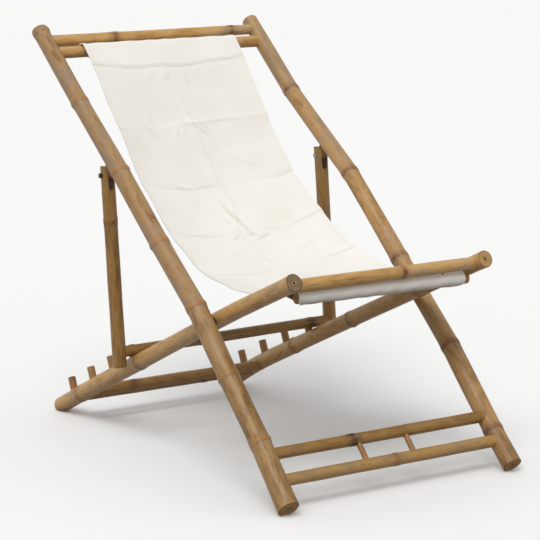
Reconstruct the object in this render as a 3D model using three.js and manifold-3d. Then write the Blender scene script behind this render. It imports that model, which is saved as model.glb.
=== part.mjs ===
// Folding recliner of solid bamboo poles with a canvas sling, standing in its most upright position.
// Millimetres, +Z up. The sitter faces -Y, and +X is the right-hand side of the photograph.
import * as THREE from 'three';
import { mergeVertices } from 'three/addons/utils/BufferGeometryUtils.js';
import Module from 'manifold-3d';

const wasm = await Module();
wasm.setup();

// Fits
const clearance = 0.3;
const woodBetweenHoles = 6;
const cutOverrun = 30;
const footTrim = 2.4;

// Back frame: the long pair of poles from the front feet up to the head
const backRailLength = 1331;
const backRailAngleDeg = 41.26;
const backRailBow = 34;
const backFootY = -506;
const leftBackFootRadius = 22.8;
const leftBackHeadRadius = 18.4;
const rightBackFootRadius = 21;
const rightBackHeadRadius = 18;
const leftBackNodeShares = [0.115, 0.233, 0.362, 0.502, 0.662, 0.826, 0.992];
const rightBackNodeShares = [0.065, 0.226, 0.411, 0.602, 0.82];
const leftBackBowShares = [
  [0, 0], [0.115, 0.56], [0.238, 0.82], [0.362, 1.17], [0.506, 0.84], [0.668, 0.66], [0.829, 0.25], [1, 0],
];
const rightBackBowShares = [
  [0, 0], [0.065, 0.09], [0.226, 0.71], [0.418, 0.82], [0.602, 0.94], [0.7, 0.5], [0.82, 0.03], [1, 0],
];

// Cross bars of the back frame
const headBarInset = 31;
const headBarRadius = 12;
const headBarNodeShares = [0.308, 0.875];
const headRodPitch = 41;
const headRodRadius = 13.4;
const headRodNodeShares = [];
const footBarLowerInset = 63;
const footBarLowerRadius = 12.8;
const footBarLowerNodeShares = [0.513];
const footBarPitch = 60;
const footBarUpperRadius = 12.4;
const footBarUpperNodeShares = [0.369];
const barEndInset = 4;
const spindleRadius = 6;
const spindlePitch = 118;
const spindleShift = 2;
const spindleTenon = 6;

// Seat frame: the inner pair of poles from the rear feet up to the front bar
const seatRailSpacing = 471;
const seatRailLength = 1073;
const seatRailBow = 4;
const seatFrontRadius = 17.3;
const seatRearRadius = 18.5;
const leftSeatNodeShares = [0.012, 0.62, 0.909];
const rightSeatNodeShares = [0.022, 0.228, 0.482, 0.718];
const leftSeatBowShares = [[0, 0.5], [0.2, 1.3], [0.4, 1.35], [0.62, 1], [0.66, 1], [0.86, -0.1], [1, 0]];
const rightSeatBowShares = [[0, 0.4], [0.2, 0.5], [0.4, 0.6], [0.6, 1], [0.66, 1], [0.86, 0.4], [1, 0]];
const frontBarInset = 27.4;
const frontBarRise = 2;
const frontBarRadius = 13.4;
const frontBarNodeShares = [0.583];
const seatRodInset = 51.6;
const seatRodDrop = 19.5;
const seatRodRadius = 12;
const seatRodLeftInset = 28;
const seatRodRightInset = 19.2;
const rearBarRadius = 11.6;
const rearBarUpperNodeShares = [0.36];
const rearBarLowerNodeShares = [0.7];
const pegCount = 4;
const pegPitch = 104;
const pegEndInset = 64;
const pegRadius = 8.8;
const pegRise = 34.5;
const pegSeat = 16.5;
const rodPinRadius = 3;
const rodPinSeat = 6;
const rodPinInset = 85;

// Pivots where the two frames cross
const pivotFromFoot = 445;
const pivotFromSeatFront = 300;
const pivotPinRadius = 5;
const railGap = 3.2;
const pivotPinSkin = 7;
const spacerRadius = 11;

// Prop frame: the rear legs whose bar rests on the seat rails against a peg
const propPivotFromFoot = 911;
const propPivotStandoff = 44.5;
const propLegRadius = 15.3;
const propLegHead = 20;
const propLegTail = 30;
const leftPropNodeShares = [0.72];
const rightPropNodeShares = [0.45];
const propBarRadius = 10.7;
const propBarNodeShares = [0.375, 0.905];
const propBarEndInset = 3;
const forkWidth = 14;
const forkDepth = 33;
const tongueRadius = 12;
const tongueSeat = 9;
const boltRadius = 3;
const boltHeadRadius = 6;
const boltHeadHeight = 4.5;
const nutRadius = 5.6;
const nutHeight = 4.5;
const boltTip = 1.6;

// Bamboo
const ringHeight = 1.3;
const ringHalfWidth = 7;
const smallRingHeight = 0.9;
const smallRingHalfWidth = 5;
const ringShares = [[-1, 0], [-0.3, 0.75], [0.2, 1], [1, 0]];
const endBevel = 0.9;
const pithDepth = 12;
const pithShare = 0.14;
const longestStep = 190;

// Canvas sling
const canvasThickness = 1.6;
const canvasSideGap = 27.5;
const canvasHem = 60;
const hemGap = 0.6;
const sleeveEase = 0.7;
const headSleeveSlack = 4.5;
const seatSleeveSlack = 1.5;
const sagDepth = 168;
const cupDepth = 22;
const creaseHeight = 1.8;
const creaseHalfWidth = 9;
const creaseApartShare = 0.9;
const cupPower = 1.5;
const leftEdgeShares = [
  [0, 0.995], [0.15, 1], [0.25, 0.988], [0.4, 0.978], [0.55, 0.971], [0.7, 0.981], [0.85, 0.995], [1, 1.004],
];
const rightEdgeShares = [
  [0, 0.942], [0.1, 0.913], [0.2, 0.897], [0.3, 0.904], [0.4, 0.928], [0.5, 0.962], [0.6, 0.995], [0.7, 1.005],
  [0.85, 0.99], [1, 0.974],
];
const sagShares = [
  [0.068, 0], [0.15, 0.22], [0.227, 0.42], [0.3, 0.615], [0.375, 0.79], [0.501, 0.96], [0.57, 0.995],
  [0.643, 0.985], [0.746, 0.83], [0.822, 0.65], [0.908, 0.33],
];
const creaseShares = [[0.227, 1], [0.375, -0.7], [0.501, 1], [0.643, -0.8], [0.83, 0.6]];

// Facets
const railSides = 20;
const barSides = 16;
const pegSides = 12;
const canvasColumns = 10;
const canvasRows = 22;
const wrapSteps = 10;
const curveSides = 8;
const domeSteps = 4;
const splineSamples = 400;

// Colours of the finishes
const bambooTan = 0xb08a5c;
const bambooGold = 0xbb9660;
const bambooBrown = 0x97703f;
const dowelBrown = 0x9b7346;
const canvasWhite = 0xeeeae2;
const steelGrey = 0x77736c;
const nutBrown = 0x3a322b;

// Helpers for solids

// One closed body from a geometry: shared vertices merged, empty triangles dropped
function weld(geometry) {
  const bare = geometry.clone();
  bare.deleteAttribute('normal');
  bare.deleteAttribute('uv');
  const merged = mergeVertices(bare, 1e-4);
  const kept = [];
  const index = merged.index.array;
  for (let i = 0; i < index.length; i += 3) {
    const [a, b, c] = [index[i], index[i + 1], index[i + 2]];
    if (a !== b && b !== c && c !== a) kept.push(a, b, c);
  }
  merged.setIndex(kept);
  return merged;
}

function toManifold(geometry) {
  const closed = weld(geometry);
  return new wasm.Manifold(new wasm.Mesh({
    numProp: 3,
    vertProperties: new Float32Array(closed.attributes.position.array),
    triVerts: new Uint32Array(closed.index.array),
  }));
}

function fromManifold(solid) {
  const mesh = solid.getMesh();
  const geometry = new THREE.BufferGeometry();
  geometry.setAttribute('position', new THREE.BufferAttribute(new Float32Array(mesh.vertProperties), 3));
  geometry.setIndex(Array.from(mesh.triVerts));
  return geometry;
}

// Cuts placed meshes out of a placed mesh, in that mesh's own coordinates
function cut(mesh, ...cutters) {
  mesh.updateMatrix();
  const toLocal = mesh.matrix.clone().invert();
  let solid = toManifold(mesh.geometry);
  for (const cutter of cutters) {
    cutter.updateMatrix();
    const shape = weld(cutter.geometry).applyMatrix4(cutter.matrix).applyMatrix4(toLocal);
    solid = solid.subtract(toManifold(shape));
  }
  mesh.geometry = fromManifold(solid);
  return mesh;
}

function piece(name, geometry, colour, roughness = 0.6, metalness = 0) {
  const material = new THREE.MeshStandardMaterial({ color: colour, roughness, metalness });
  const mesh = new THREE.Mesh(weld(geometry), material);
  mesh.name = name;
  return mesh;
}

// Straight round cutter along X
function boreAlongX(radius, fromX, toX, y, z, sides = barSides) {
  const length = Math.abs(toX - fromX);
  const mesh = new THREE.Mesh(new THREE.CylinderGeometry(radius, radius, length, sides));
  mesh.rotation.z = -Math.PI / 2;
  mesh.position.set((fromX + toX) / 2, y, z);
  return mesh;
}

// Reads a table of [share, value] pairs by straight lines between them
function readTable(table, share) {
  const last = table.length - 1;
  let i = 1;
  while (i < last && table[i][0] < share) i += 1;
  const [s0, v0] = table[i - 1];
  const [s1, v1] = table[i];
  return v0 + (v1 - v0) * (share - s0) / (s1 - s0);
}

// Helpers for bamboo

// A turned pole along +Y from the origin: tapered, with a swollen ring at each node, square-cut ends and
// an open pith hole in each end
function poleGeometry(length, startRadius, endRadius, nodeShares, sides, ring = ringHeight,
  ringHalf = ringHalfWidth, extraShares = []) {
  const radiusAt = (y) => startRadius + (endRadius - startRadius) * y / length;
  const stations = [];
  for (const share of nodeShares) {
    const centre = THREE.MathUtils.clamp(share * length, ringHalf + endBevel, length - ringHalf - endBevel);
    for (const [place, swell] of ringShares) stations.push([centre + ringHalf * place, ring * swell]);
  }
  for (const share of extraShares) {
    const y = share * length;
    const near = stations.some(([at]) => Math.abs(at - y) < ringHalf);
    if (!near && y > ringHalf && y < length - ringHalf) stations.push([y, 0]);
  }
  stations.sort((p, q) => p[0] - q[0]);
  const filled = [];
  let previous = endBevel;
  for (const [y, swell] of [...stations, [length - endBevel, 0]]) {
    const steps = Math.ceil((y - previous) / longestStep);
    for (let k = 1; k < steps; k += 1) filled.push([previous + (y - previous) * k / steps, 0]);
    if (y < length - endBevel) filled.push([y, swell]);
    previous = y;
  }
  const startPith = startRadius * pithShare;
  const endPith = endRadius * pithShare;
  const profile = [new THREE.Vector2(0, pithDepth), new THREE.Vector2(startPith, pithDepth)];
  profile.push(new THREE.Vector2(startPith, 0), new THREE.Vector2(startRadius - endBevel, 0));
  profile.push(new THREE.Vector2(startRadius, endBevel));
  for (const [y, swell] of filled) profile.push(new THREE.Vector2(radiusAt(y) + swell, y));
  profile.push(new THREE.Vector2(endRadius, length - endBevel));
  profile.push(new THREE.Vector2(endRadius - endBevel, length), new THREE.Vector2(endPith, length));
  profile.push(new THREE.Vector2(endPith, length - pithDepth), new THREE.Vector2(0, length - pithDepth));
  return new THREE.LatheGeometry(profile, sides);
}

// Bows a pole towards its local +Z by a table of shares of its length and of the bow
function bowPole(geometry, length, bow, table) {
  const position = geometry.attributes.position;
  for (let i = 0; i < position.count; i += 1) {
    const share = Math.min(Math.max(position.getY(i) / length, 0), 1);
    position.setZ(i, position.getZ(i) + bow * readTable(table, share));
  }
  return geometry;
}

// A level bar along X, centred on centreX
function crossBar(name, halfLength, radius, nodeShares, at, colour, centreX = 0) {
  const length = halfLength * 2;
  const geometry = poleGeometry(length, radius, radius, nodeShares, barSides, smallRingHeight,
    smallRingHalfWidth);
  const bar = piece(name, geometry, colour);
  bar.rotation.z = -Math.PI / 2;
  bar.position.set(centreX - halfLength, at.y, at.z);
  return bar;
}

// The mortise that a level bar needs in a pole
function mortise(halfLength, radius, at) {
  const reach = halfLength + clearance;
  return boreAlongX(radius + clearance, -reach, reach, at.y, at.z);
}

// Side view

// A point of the side view, with its place along Y and Z
const sidePoint = (y, z) => ({ y, z });
const along = (from, direction, distance, normal, offset) => sidePoint(
  from.y + direction.y * distance + normal.y * offset,
  from.z + direction.z * distance + normal.z * offset,
);

// Back rails: from the foot up to the head, with the normal towards the sitter
const backAngle = THREE.MathUtils.degToRad(backRailAngleDeg);
const backDirection = sidePoint(Math.cos(backAngle), Math.sin(backAngle));
const backNormal = sidePoint(-Math.sin(backAngle), Math.cos(backAngle));
const meanBackFootRadius = (leftBackFootRadius + rightBackFootRadius) / 2;
const backFoot = sidePoint(backFootY, meanBackFootRadius * Math.cos(backAngle) - footTrim);
const seatRailX = seatRailSpacing / 2;
const backRailX = seatRailX + seatRearRadius + railGap + leftBackFootRadius;
function backBow(distance) {
  const share = distance / backRailLength;
  return backRailBow * (readTable(leftBackBowShares, share) + readTable(rightBackBowShares, share)) / 2;
}
const backRailPoint = (distance) => along(backFoot, backDirection, distance, backNormal, backBow(distance));
const pivot = backRailPoint(pivotFromFoot);

// Seat rails: from the front end down to the rear foot, with the normal upwards. Their slope is the one
// that lets the rear foot reach the floor.
const seatRearReach = seatRailLength - pivotFromSeatFront;
const seatFootRise = seatRearRadius + seatRailBow;
const seatAngle = Math.asin((pivot.z + footTrim) / Math.hypot(seatRearReach, seatFootRise))
  - Math.atan2(seatFootRise, seatRearReach);
const seatDirection = sidePoint(Math.cos(seatAngle), -Math.sin(seatAngle));
const seatNormal = sidePoint(Math.sin(seatAngle), Math.cos(seatAngle));
const seatFront = along(pivot, seatDirection, -pivotFromSeatFront, seatNormal, -seatRailBow);
const seatRailPoint = (distance, offset) => along(seatFront, seatDirection, distance, seatNormal, offset);
const seatRadiusAt = (distance) => seatFrontRadius
  + (seatRearRadius - seatFrontRadius) * distance / seatRailLength;

// Pegs and prop bar on the seat rails
const pegDistances = [];
for (let i = 0; i < pegCount; i += 1) pegDistances.push(seatRailLength - pegEndInset - pegPitch * i);
const frontPegDistance = pegDistances[pegCount - 1];
const propBarDistance = frontPegDistance - pegRadius - propBarRadius - smallRingHeight - clearance;
const propBarRise = seatRailBow + seatRadiusAt(propBarDistance) + propBarRadius + clearance;
const propBarAt = seatRailPoint(propBarDistance, propBarRise);
const propPivotAxis = backRailPoint(propPivotFromFoot);
const propPivot = along(propPivotAxis, backNormal, -propPivotStandoff, backDirection, 0);
const propAngle = Math.atan2(propPivot.z - propBarAt.z, propPivot.y - propBarAt.y);
const propReach = Math.hypot(propPivot.z - propBarAt.z, propPivot.y - propBarAt.y);
const propLegLength = propLegTail + propReach + propLegHead;

// Places of the cross bars
const headBarAt = backRailPoint(backRailLength - headBarInset);
const headRodAt = backRailPoint(backRailLength - headBarInset - headRodPitch);
const footBarLowerAt = backRailPoint(footBarLowerInset);
const footBarUpperAt = backRailPoint(footBarLowerInset + footBarPitch);
const backBarHalf = backRailX - barEndInset;
const seatBarHalf = seatRailX - barEndInset;
const frontBarAt = seatRailPoint(frontBarInset, frontBarRise);
const rearBarUpperAt = seatRailPoint(pegDistances[1] + pegRadius + rearBarRadius + woodBetweenHoles, 0);
const rearBarLowerAt = seatRailPoint(pegDistances[0] - pegRadius - rearBarRadius - woodBetweenHoles, 0);
const seatRodHalf = seatRailX - (seatRodLeftInset + seatRodRightInset) / 2;
const seatRodShift = (seatRodLeftInset - seatRodRightInset) / 2;
const seatRodAt = seatRailPoint(seatRodInset, -seatRodDrop);

// Canvas outline in the side view: e runs from the head rod to the seat rod, n away from the sitter
const slingLength = Math.hypot(seatRodAt.y - headRodAt.y, seatRodAt.z - headRodAt.z);
const slingE = sidePoint(
  (seatRodAt.y - headRodAt.y) / slingLength,
  (seatRodAt.z - headRodAt.z) / slingLength,
);
const slingN = sidePoint(-slingE.z, slingE.y);
const canvasHalfWidth = seatRailX - canvasSideGap;
const headWrap = headRodRadius + sleeveEase + headSleeveSlack + canvasThickness / 2;
const seatWrap = seatRodRadius + sleeveEase + seatSleeveSlack + canvasThickness / 2;

function slingSpline() {
  const points = [new THREE.Vector2(headSleeveSlack, -headWrap)];
  for (const [share, depth] of sagShares) {
    points.push(new THREE.Vector2(share * slingLength, depth * sagDepth));
  }
  points.push(new THREE.Vector2(slingLength, -seatWrap));
  return new THREE.SplineCurve(points);
}

// Turn of the point where a straight run from a row touches the circle round a rod
function tangentTurn(rodE, radius, [e, n], side) {
  return Math.atan2(n, e - rodE) + side * Math.acos(radius / Math.hypot(e - rodE, n));
}

function wrapRows(rodE, radius, fromTurn, toTurn) {
  const rows = [];
  for (let i = 0; i <= wrapSteps; i += 1) {
    const turn = fromTurn + (toTurn - fromTurn) * i / wrapSteps;
    rows.push([rodE + radius * Math.cos(turn), radius * Math.sin(turn), 0]);
  }
  return rows;
}

// Rows of the sling as [e, n, cup share], from the head hem over both rods to the seat hem
function slingRows() {
  const spline = slingSpline();
  const samples = spline.getPoints(splineSamples);
  const depthAt = (e) => {
    let i = 1;
    while (i < samples.length - 1 && samples[i].x < e) i += 1;
    const [p, q] = [samples[i - 1], samples[i]];
    return p.y + (q.y - p.y) * (e - p.x) / (q.x - p.x);
  };
  const mainStops = [[canvasHem, 0], [slingLength - canvasHem, 0]];
  for (let i = 1; i < canvasRows; i += 1) mainStops.push([slingLength * i / canvasRows, 0]);
  for (const [share, sign] of creaseShares) {
    const centre = share * slingLength;
    mainStops.push([centre - creaseHalfWidth, 0], [centre, sign * creaseHeight]);
    mainStops.push([centre + creaseHalfWidth, 0]);
  }
  mainStops.sort((p, q) => p[0] - q[0]);
  const crowded = (e) => mainStops.some(([other, lift]) => lift !== 0
    && Math.abs(other - e) < creaseHalfWidth * creaseApartShare);
  const apart = mainStops.filter(([e, lift]) => lift !== 0 || !crowded(e));
  const behind = canvasThickness + hemGap;
  const cupAt = (e) => Math.sin(Math.PI * e / slingLength) ** cupPower;
  const main = apart.map(([e, lift]) => [e, depthAt(e) - lift, cupAt(e)]);
  // The hems run back towards their rods, so that their cup is the other way about
  const hemAt = (e) => [e, depthAt(e) + behind, -cupAt(e)];
  const headHem = hemAt(canvasHem);
  const seatHem = hemAt(slingLength - canvasHem);
  const rows = [headHem];
  rows.push(...wrapRows(headSleeveSlack, headWrap, tangentTurn(headSleeveSlack, headWrap, headHem, 1),
    tangentTurn(headSleeveSlack, headWrap, main[0], -1) + Math.PI * 2));
  rows.push(...main);
  const seatTurnAt = slingLength - seatSleeveSlack;
  rows.push(...wrapRows(seatTurnAt, seatWrap, tangentTurn(seatTurnAt, seatWrap, main[main.length - 1], 1)
    - Math.PI * 2, tangentTurn(seatTurnAt, seatWrap, seatHem, -1)));
  rows.push(seatHem);
  return rows;
}

// A closed sheet through rows of [e, n, cup share], cupped across, with its two side edges
function slingGeometry() {
  const rows = slingRows();
  const position = [];
  const columns = canvasColumns;
  const layer = (side) => {
    rows.forEach(([e, n, cupShare], r) => {
      const [pe, pn] = rows[Math.max(r - 1, 0)];
      const [qe, qn] = rows[Math.min(r + 1, rows.length - 1)];
      const size = Math.hypot(qe - pe, qn - pn);
      const [te, tn] = [(qe - pe) / size, (qn - pn) / size];
      const share = THREE.MathUtils.clamp(e / slingLength, 0, 1);
      const leftEdge = -canvasHalfWidth * readTable(leftEdgeShares, share);
      const rightEdge = canvasHalfWidth * readTable(rightEdgeShares, share);
      for (let c = 0; c < columns; c += 1) {
        const u = 2 * c / (columns - 1) - 1;
        const cup = cupDepth * cupShare * (1 - u * u);
        const de = e - tn * side * canvasThickness / 2 - tn * cup;
        const dn = n + te * side * canvasThickness / 2 + te * cup;
        const at = along(headRodAt, slingE, de, slingN, dn);
        position.push(THREE.MathUtils.lerp(leftEdge, rightEdge, c / (columns - 1)), at.y, at.z);
      }
    });
  };
  layer(-1);
  layer(1);
  const index = [];
  const quad = (a, b, c, d) => index.push(a, c, b, a, d, c);
  const last = rows.length - 1;
  const other = rows.length * columns;
  for (let r = 0; r < last; r += 1) {
    for (let c = 0; c < columns - 1; c += 1) {
      const a = r * columns + c;
      quad(a, a + 1, a + columns + 1, a + columns);
      quad(other + a, other + a + columns, other + a + columns + 1, other + a + 1);
    }
    const [l, m] = [r * columns, r * columns + columns - 1];
    quad(l, l + columns, other + l + columns, other + l);
    quad(m, other + m, other + m + columns, m + columns);
  }
  for (let c = 0; c < columns - 1; c += 1) {
    const end = last * columns + c;
    quad(c, other + c, other + c + 1, c + 1);
    quad(end, end + 1, other + end + 1, other + end);
  }
  const geometry = new THREE.BufferGeometry();
  geometry.setAttribute('position', new THREE.Float32BufferAttribute(position, 3));
  geometry.setIndex(index);
  return geometry;
}

// Pieces of the back frame

const floorCutter = new THREE.Mesh(new THREE.BoxGeometry(backRailX * 4, backRailLength * 2, cutOverrun));
floorCutter.position.z = -cutOverrun / 2;

// Tongue that reaches back from a back rail into the fork of a prop leg. Its outline lies in the side
// view, with the round end on the prop pivot.
function tongueMesh(x, growth) {
  const radius = tongueRadius + growth;
  const rootRadius = leftBackHeadRadius;
  const reach = propPivotStandoff - rootRadius + tongueSeat + growth;
  const outline = new THREE.Shape();
  outline.absarc(0, 0, radius, -Math.PI, 0, false);
  outline.lineTo(radius, reach);
  outline.lineTo(-radius, reach);
  outline.closePath();
  const width = forkWidth - clearance * 2 + growth * 2;
  const settings = { depth: width, bevelEnabled: false, curveSegments: curveSides };
  const geometry = new THREE.ExtrudeGeometry(outline, settings);
  geometry.translate(0, 0, -width / 2);
  geometry.rotateY(Math.PI / 2);
  geometry.rotateX(Math.PI / 2);
  const mesh = new THREE.Mesh(geometry);
  mesh.rotation.x = backAngle;
  mesh.position.set(x, propPivot.y, propPivot.z);
  return mesh;
}

function backRail(name, x, footRadius, headRadius, nodeShares, bowShares) {
  const extra = [pivotFromFoot / backRailLength, propPivotFromFoot / backRailLength];
  for (const [share] of bowShares) extra.push(share);
  const turned = poleGeometry(backRailLength, footRadius, headRadius, nodeShares, railSides,
    ringHeight, ringHalfWidth, extra);
  const rail = piece(name, bowPole(turned, backRailLength, backRailBow, bowShares), bambooTan);
  rail.rotation.x = backAngle;
  rail.position.set(x, backFoot.y, backFoot.z);
  const pinInner = Math.sign(x) * (seatRailX - seatFrontRadius);
  const pinOuter = Math.sign(x) * (Math.abs(x) + rightBackHeadRadius - pivotPinSkin + clearance);
  return cut(
    rail,
    floorCutter,
    mortise(backBarHalf, headBarRadius, headBarAt),
    mortise(backBarHalf, headRodRadius, headRodAt),
    mortise(backBarHalf, footBarLowerRadius, footBarLowerAt),
    mortise(backBarHalf, footBarUpperRadius, footBarUpperAt),
    boreAlongX(pivotPinRadius + clearance, pinInner, pinOuter, pivot.y, pivot.z),
    tongueMesh(x, clearance),
  );
}

function propTongue(name, x) {
  const tongue = tongueMesh(x, 0);
  const placed = piece(name, tongue.geometry, bambooBrown);
  placed.rotation.copy(tongue.rotation);
  placed.position.copy(tongue.position);
  const bore = boltRadius + clearance;
  return cut(placed, boreAlongX(bore, x - forkWidth, x + forkWidth, propPivot.y, propPivot.z));
}

// Small spindle between the two foot bars
const spindleRun = Math.hypot(footBarUpperAt.y - footBarLowerAt.y, footBarUpperAt.z - footBarLowerAt.z);
const spindleLength = spindleRun - footBarLowerRadius - footBarUpperRadius + spindleTenon * 2;
const spindleTilt = Math.atan2(footBarUpperAt.z - footBarLowerAt.z, footBarUpperAt.y - footBarLowerAt.y);
function spindleMesh(x, growth) {
  const length = spindleLength + growth * 2;
  const mesh = new THREE.Mesh(new THREE.CylinderGeometry(spindleRadius + growth, spindleRadius + growth,
    length, pegSides));
  const start = footBarLowerRadius - spindleTenon;
  const middle = along(footBarLowerAt, sidePoint(Math.cos(spindleTilt), Math.sin(spindleTilt)),
    start + spindleLength / 2, backNormal, 0);
  mesh.rotation.x = spindleTilt;
  mesh.position.set(x, middle.y, middle.z);
  return mesh;
}

function pivotPin(name, side) {
  const inner = seatRailX - seatFrontRadius + pivotPinSkin;
  const outer = backRailX + rightBackHeadRadius - pivotPinSkin;
  const pin = boreAlongX(pivotPinRadius, side * inner, side * outer, pivot.y, pivot.z, pegSides);
  const placed = piece(name, pin.geometry, steelGrey, 0.45, 0.9);
  placed.rotation.copy(pin.rotation);
  placed.position.copy(pin.position);
  return placed;
}

// Washer on the pivot pin that keeps the two poles apart
function pivotSpacer(name, side, footRadius, headRadius) {
  const backRadius = footRadius + (headRadius - footRadius) * pivotFromFoot / backRailLength;
  const inner = seatRailX + seatRadiusAt(pivotFromSeatFront) + clearance;
  const outer = backRailX - backRadius - clearance;
  const bore = pivotPinRadius + clearance;
  const profile = [
    new THREE.Vector2(bore, 0), new THREE.Vector2(spacerRadius, 0),
    new THREE.Vector2(spacerRadius, outer - inner), new THREE.Vector2(bore, outer - inner),
    new THREE.Vector2(bore, 0),
  ];
  const washer = piece(name, new THREE.LatheGeometry(profile, barSides), nutBrown, 0.5, 0.4);
  washer.rotation.z = -side * Math.PI / 2;
  washer.position.set(side * inner, pivot.y, pivot.z);
  return washer;
}

// Pieces of the seat frame

function pegMesh(x, distance, growth) {
  const root = seatRadiusAt(distance) - pegSeat - growth;
  const tip = seatRadiusAt(distance) + pegRise;
  const geometry = new THREE.CylinderGeometry(pegRadius + growth, pegRadius + growth, tip - root, pegSides);
  const mesh = new THREE.Mesh(geometry);
  const middle = seatRailPoint(distance, (root + tip) / 2);
  mesh.rotation.x = Math.PI / 2 - seatAngle;
  mesh.position.set(x, middle.y, middle.z);
  return mesh;
}

// Thin dowel that ties the sling rod to the front bar, through the sleeve
const rodPinRun = Math.hypot(frontBarAt.y - seatRodAt.y, frontBarAt.z - seatRodAt.z);
const rodPinTilt = Math.atan2(frontBarAt.z - seatRodAt.z, frontBarAt.y - seatRodAt.y);
function rodPinMesh(side, growth) {
  const length = rodPinRun - seatRodRadius - frontBarRadius + rodPinSeat * 2 + growth * 2;
  const geometry = new THREE.CylinderGeometry(rodPinRadius + growth, rodPinRadius + growth, length, pegSides);
  const mesh = new THREE.Mesh(geometry);
  const start = seatRodRadius - rodPinSeat - growth;
  const middle = along(seatRodAt, sidePoint(Math.cos(rodPinTilt), Math.sin(rodPinTilt)), start + length / 2,
    seatNormal, 0);
  mesh.rotation.x = rodPinTilt;
  mesh.position.set(side * (seatRailX - rodPinInset), middle.y, middle.z);
  return mesh;
}

function seatRail(name, x, nodeShares, bowShares) {
  const extra = [];
  for (const [share] of bowShares) extra.push(share);
  const turned = poleGeometry(seatRailLength, seatFrontRadius, seatRearRadius, nodeShares, railSides,
    ringHeight, ringHalfWidth, extra);
  const rail = piece(name, bowPole(turned, seatRailLength, seatRailBow, bowShares), bambooTan);
  rail.rotation.x = -seatAngle;
  rail.position.set(x, seatFront.y, seatFront.z);
  const side = Math.sign(x);
  const pinInner = side * (seatRailX - seatFrontRadius + pivotPinSkin - clearance);
  const pinOuter = side * backRailX;
  return cut(
    rail,
    floorCutter,
    mortise(seatBarHalf, frontBarRadius, frontBarAt),
    mortise(seatBarHalf, rearBarRadius, rearBarUpperAt),
    mortise(seatBarHalf, rearBarRadius, rearBarLowerAt),
    boreAlongX(pivotPinRadius + clearance, pinInner, pinOuter, pivot.y, pivot.z),
    ...pegDistances.map((distance) => pegMesh(x, distance, clearance)),
  );
}

function dowel(name, mesh) {
  const placed = piece(name, mesh.geometry, dowelBrown);
  placed.rotation.copy(mesh.rotation);
  placed.position.copy(mesh.position);
  return placed;
}

// Pieces of the prop frame

function forkCutter(x) {
  const half = forkWidth / 2;
  const top = propLegHead + cutOverrun;
  const outline = new THREE.Shape();
  outline.absarc(0, -forkDepth + half, half, -Math.PI, 0, false);
  outline.lineTo(half, top);
  outline.lineTo(-half, top);
  outline.closePath();
  const depth = propLegRadius * 2 + cutOverrun;
  const settings = { depth, bevelEnabled: false, curveSegments: curveSides };
  const geometry = new THREE.ExtrudeGeometry(outline, settings);
  geometry.translate(0, 0, -depth / 2);
  const mesh = new THREE.Mesh(geometry);
  mesh.rotation.x = propAngle;
  mesh.position.set(x, propPivot.y, propPivot.z);
  return mesh;
}

function propLeg(name, x, nodeShares) {
  const geometry = poleGeometry(propLegLength, propLegRadius, propLegRadius, nodeShares, railSides,
    smallRingHeight, smallRingHalfWidth);
  const leg = piece(name, geometry, bambooBrown);
  leg.rotation.x = propAngle;
  const upLeg = sidePoint(Math.cos(propAngle), Math.sin(propAngle));
  const foot = along(propBarAt, upLeg, -propLegTail, backNormal, 0);
  leg.position.set(x, foot.y, foot.z);
  const reach = propLegRadius + cutOverrun;
  return cut(
    leg,
    forkCutter(x),
    boreAlongX(boltRadius + clearance, x - reach, x + reach, propPivot.y, propPivot.z),
    mortise(backRailX - propBarEndInset, propBarRadius, propBarAt),
  );
}

// Bolt through a fork: domed head on the inner side, a nut on the outer side
function propBolt(name, side) {
  const grip = propLegRadius + clearance;
  const profile = [new THREE.Vector2(0, -grip - boltHeadHeight)];
  for (let i = 1; i <= domeSteps; i += 1) {
    const turn = Math.PI / 2 * i / domeSteps;
    const rise = boltHeadHeight * Math.cos(turn);
    profile.push(new THREE.Vector2(boltHeadRadius * Math.sin(turn), -grip - rise));
  }
  const tip = grip + clearance + nutHeight + boltTip;
  profile.push(new THREE.Vector2(boltRadius, -grip), new THREE.Vector2(boltRadius, tip));
  profile.push(new THREE.Vector2(0, tip));
  const bolt = piece(name, new THREE.LatheGeometry(profile, pegSides), steelGrey, 0.35, 0.9);
  bolt.rotation.z = -side * Math.PI / 2;
  bolt.position.set(side * backRailX, propPivot.y, propPivot.z);
  return bolt;
}

function propNut(name, side) {
  const bore = boltRadius + clearance;
  const hexagon = new THREE.Shape();
  for (let i = 0; i < 6; i += 1) {
    const turn = Math.PI / 3 * i;
    hexagon.lineTo(nutRadius * Math.cos(turn), nutRadius * Math.sin(turn));
  }
  hexagon.curves.shift();
  hexagon.closePath();
  const hole = new THREE.Path();
  hole.absarc(0, 0, bore, 0, Math.PI * 2, true);
  hexagon.holes.push(hole);
  const settings = { depth: nutHeight, bevelEnabled: false, curveSegments: curveSides };
  const geometry = new THREE.ExtrudeGeometry(hexagon, settings);
  const nut = piece(name, geometry, nutBrown, 0.5, 0.8);
  nut.rotation.y = side * Math.PI / 2;
  nut.position.set(side * (backRailX + propLegRadius + clearance), propPivot.y, propPivot.z);
  return nut;
}

// Assembly

const recliner = new THREE.Group();
recliner.name = 'bamboo_folding_recliner';

function frameGroup(name, at) {
  const group = new THREE.Group();
  group.name = name;
  group.position.set(0, at.y, at.z);
  recliner.add(group);
  return group;
}

// Adds a piece placed in the world to a group that stands at its joint
function addTo(group, mesh) {
  mesh.position.sub(group.position);
  mesh.geometry.computeVertexNormals();
  group.add(mesh);
}

const backFrame = frameGroup('back_frame', sidePoint(0, 0));
const seatFrame = frameGroup('seat_frame', pivot);
const propFrame = frameGroup('prop_frame', propPivot);

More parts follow.
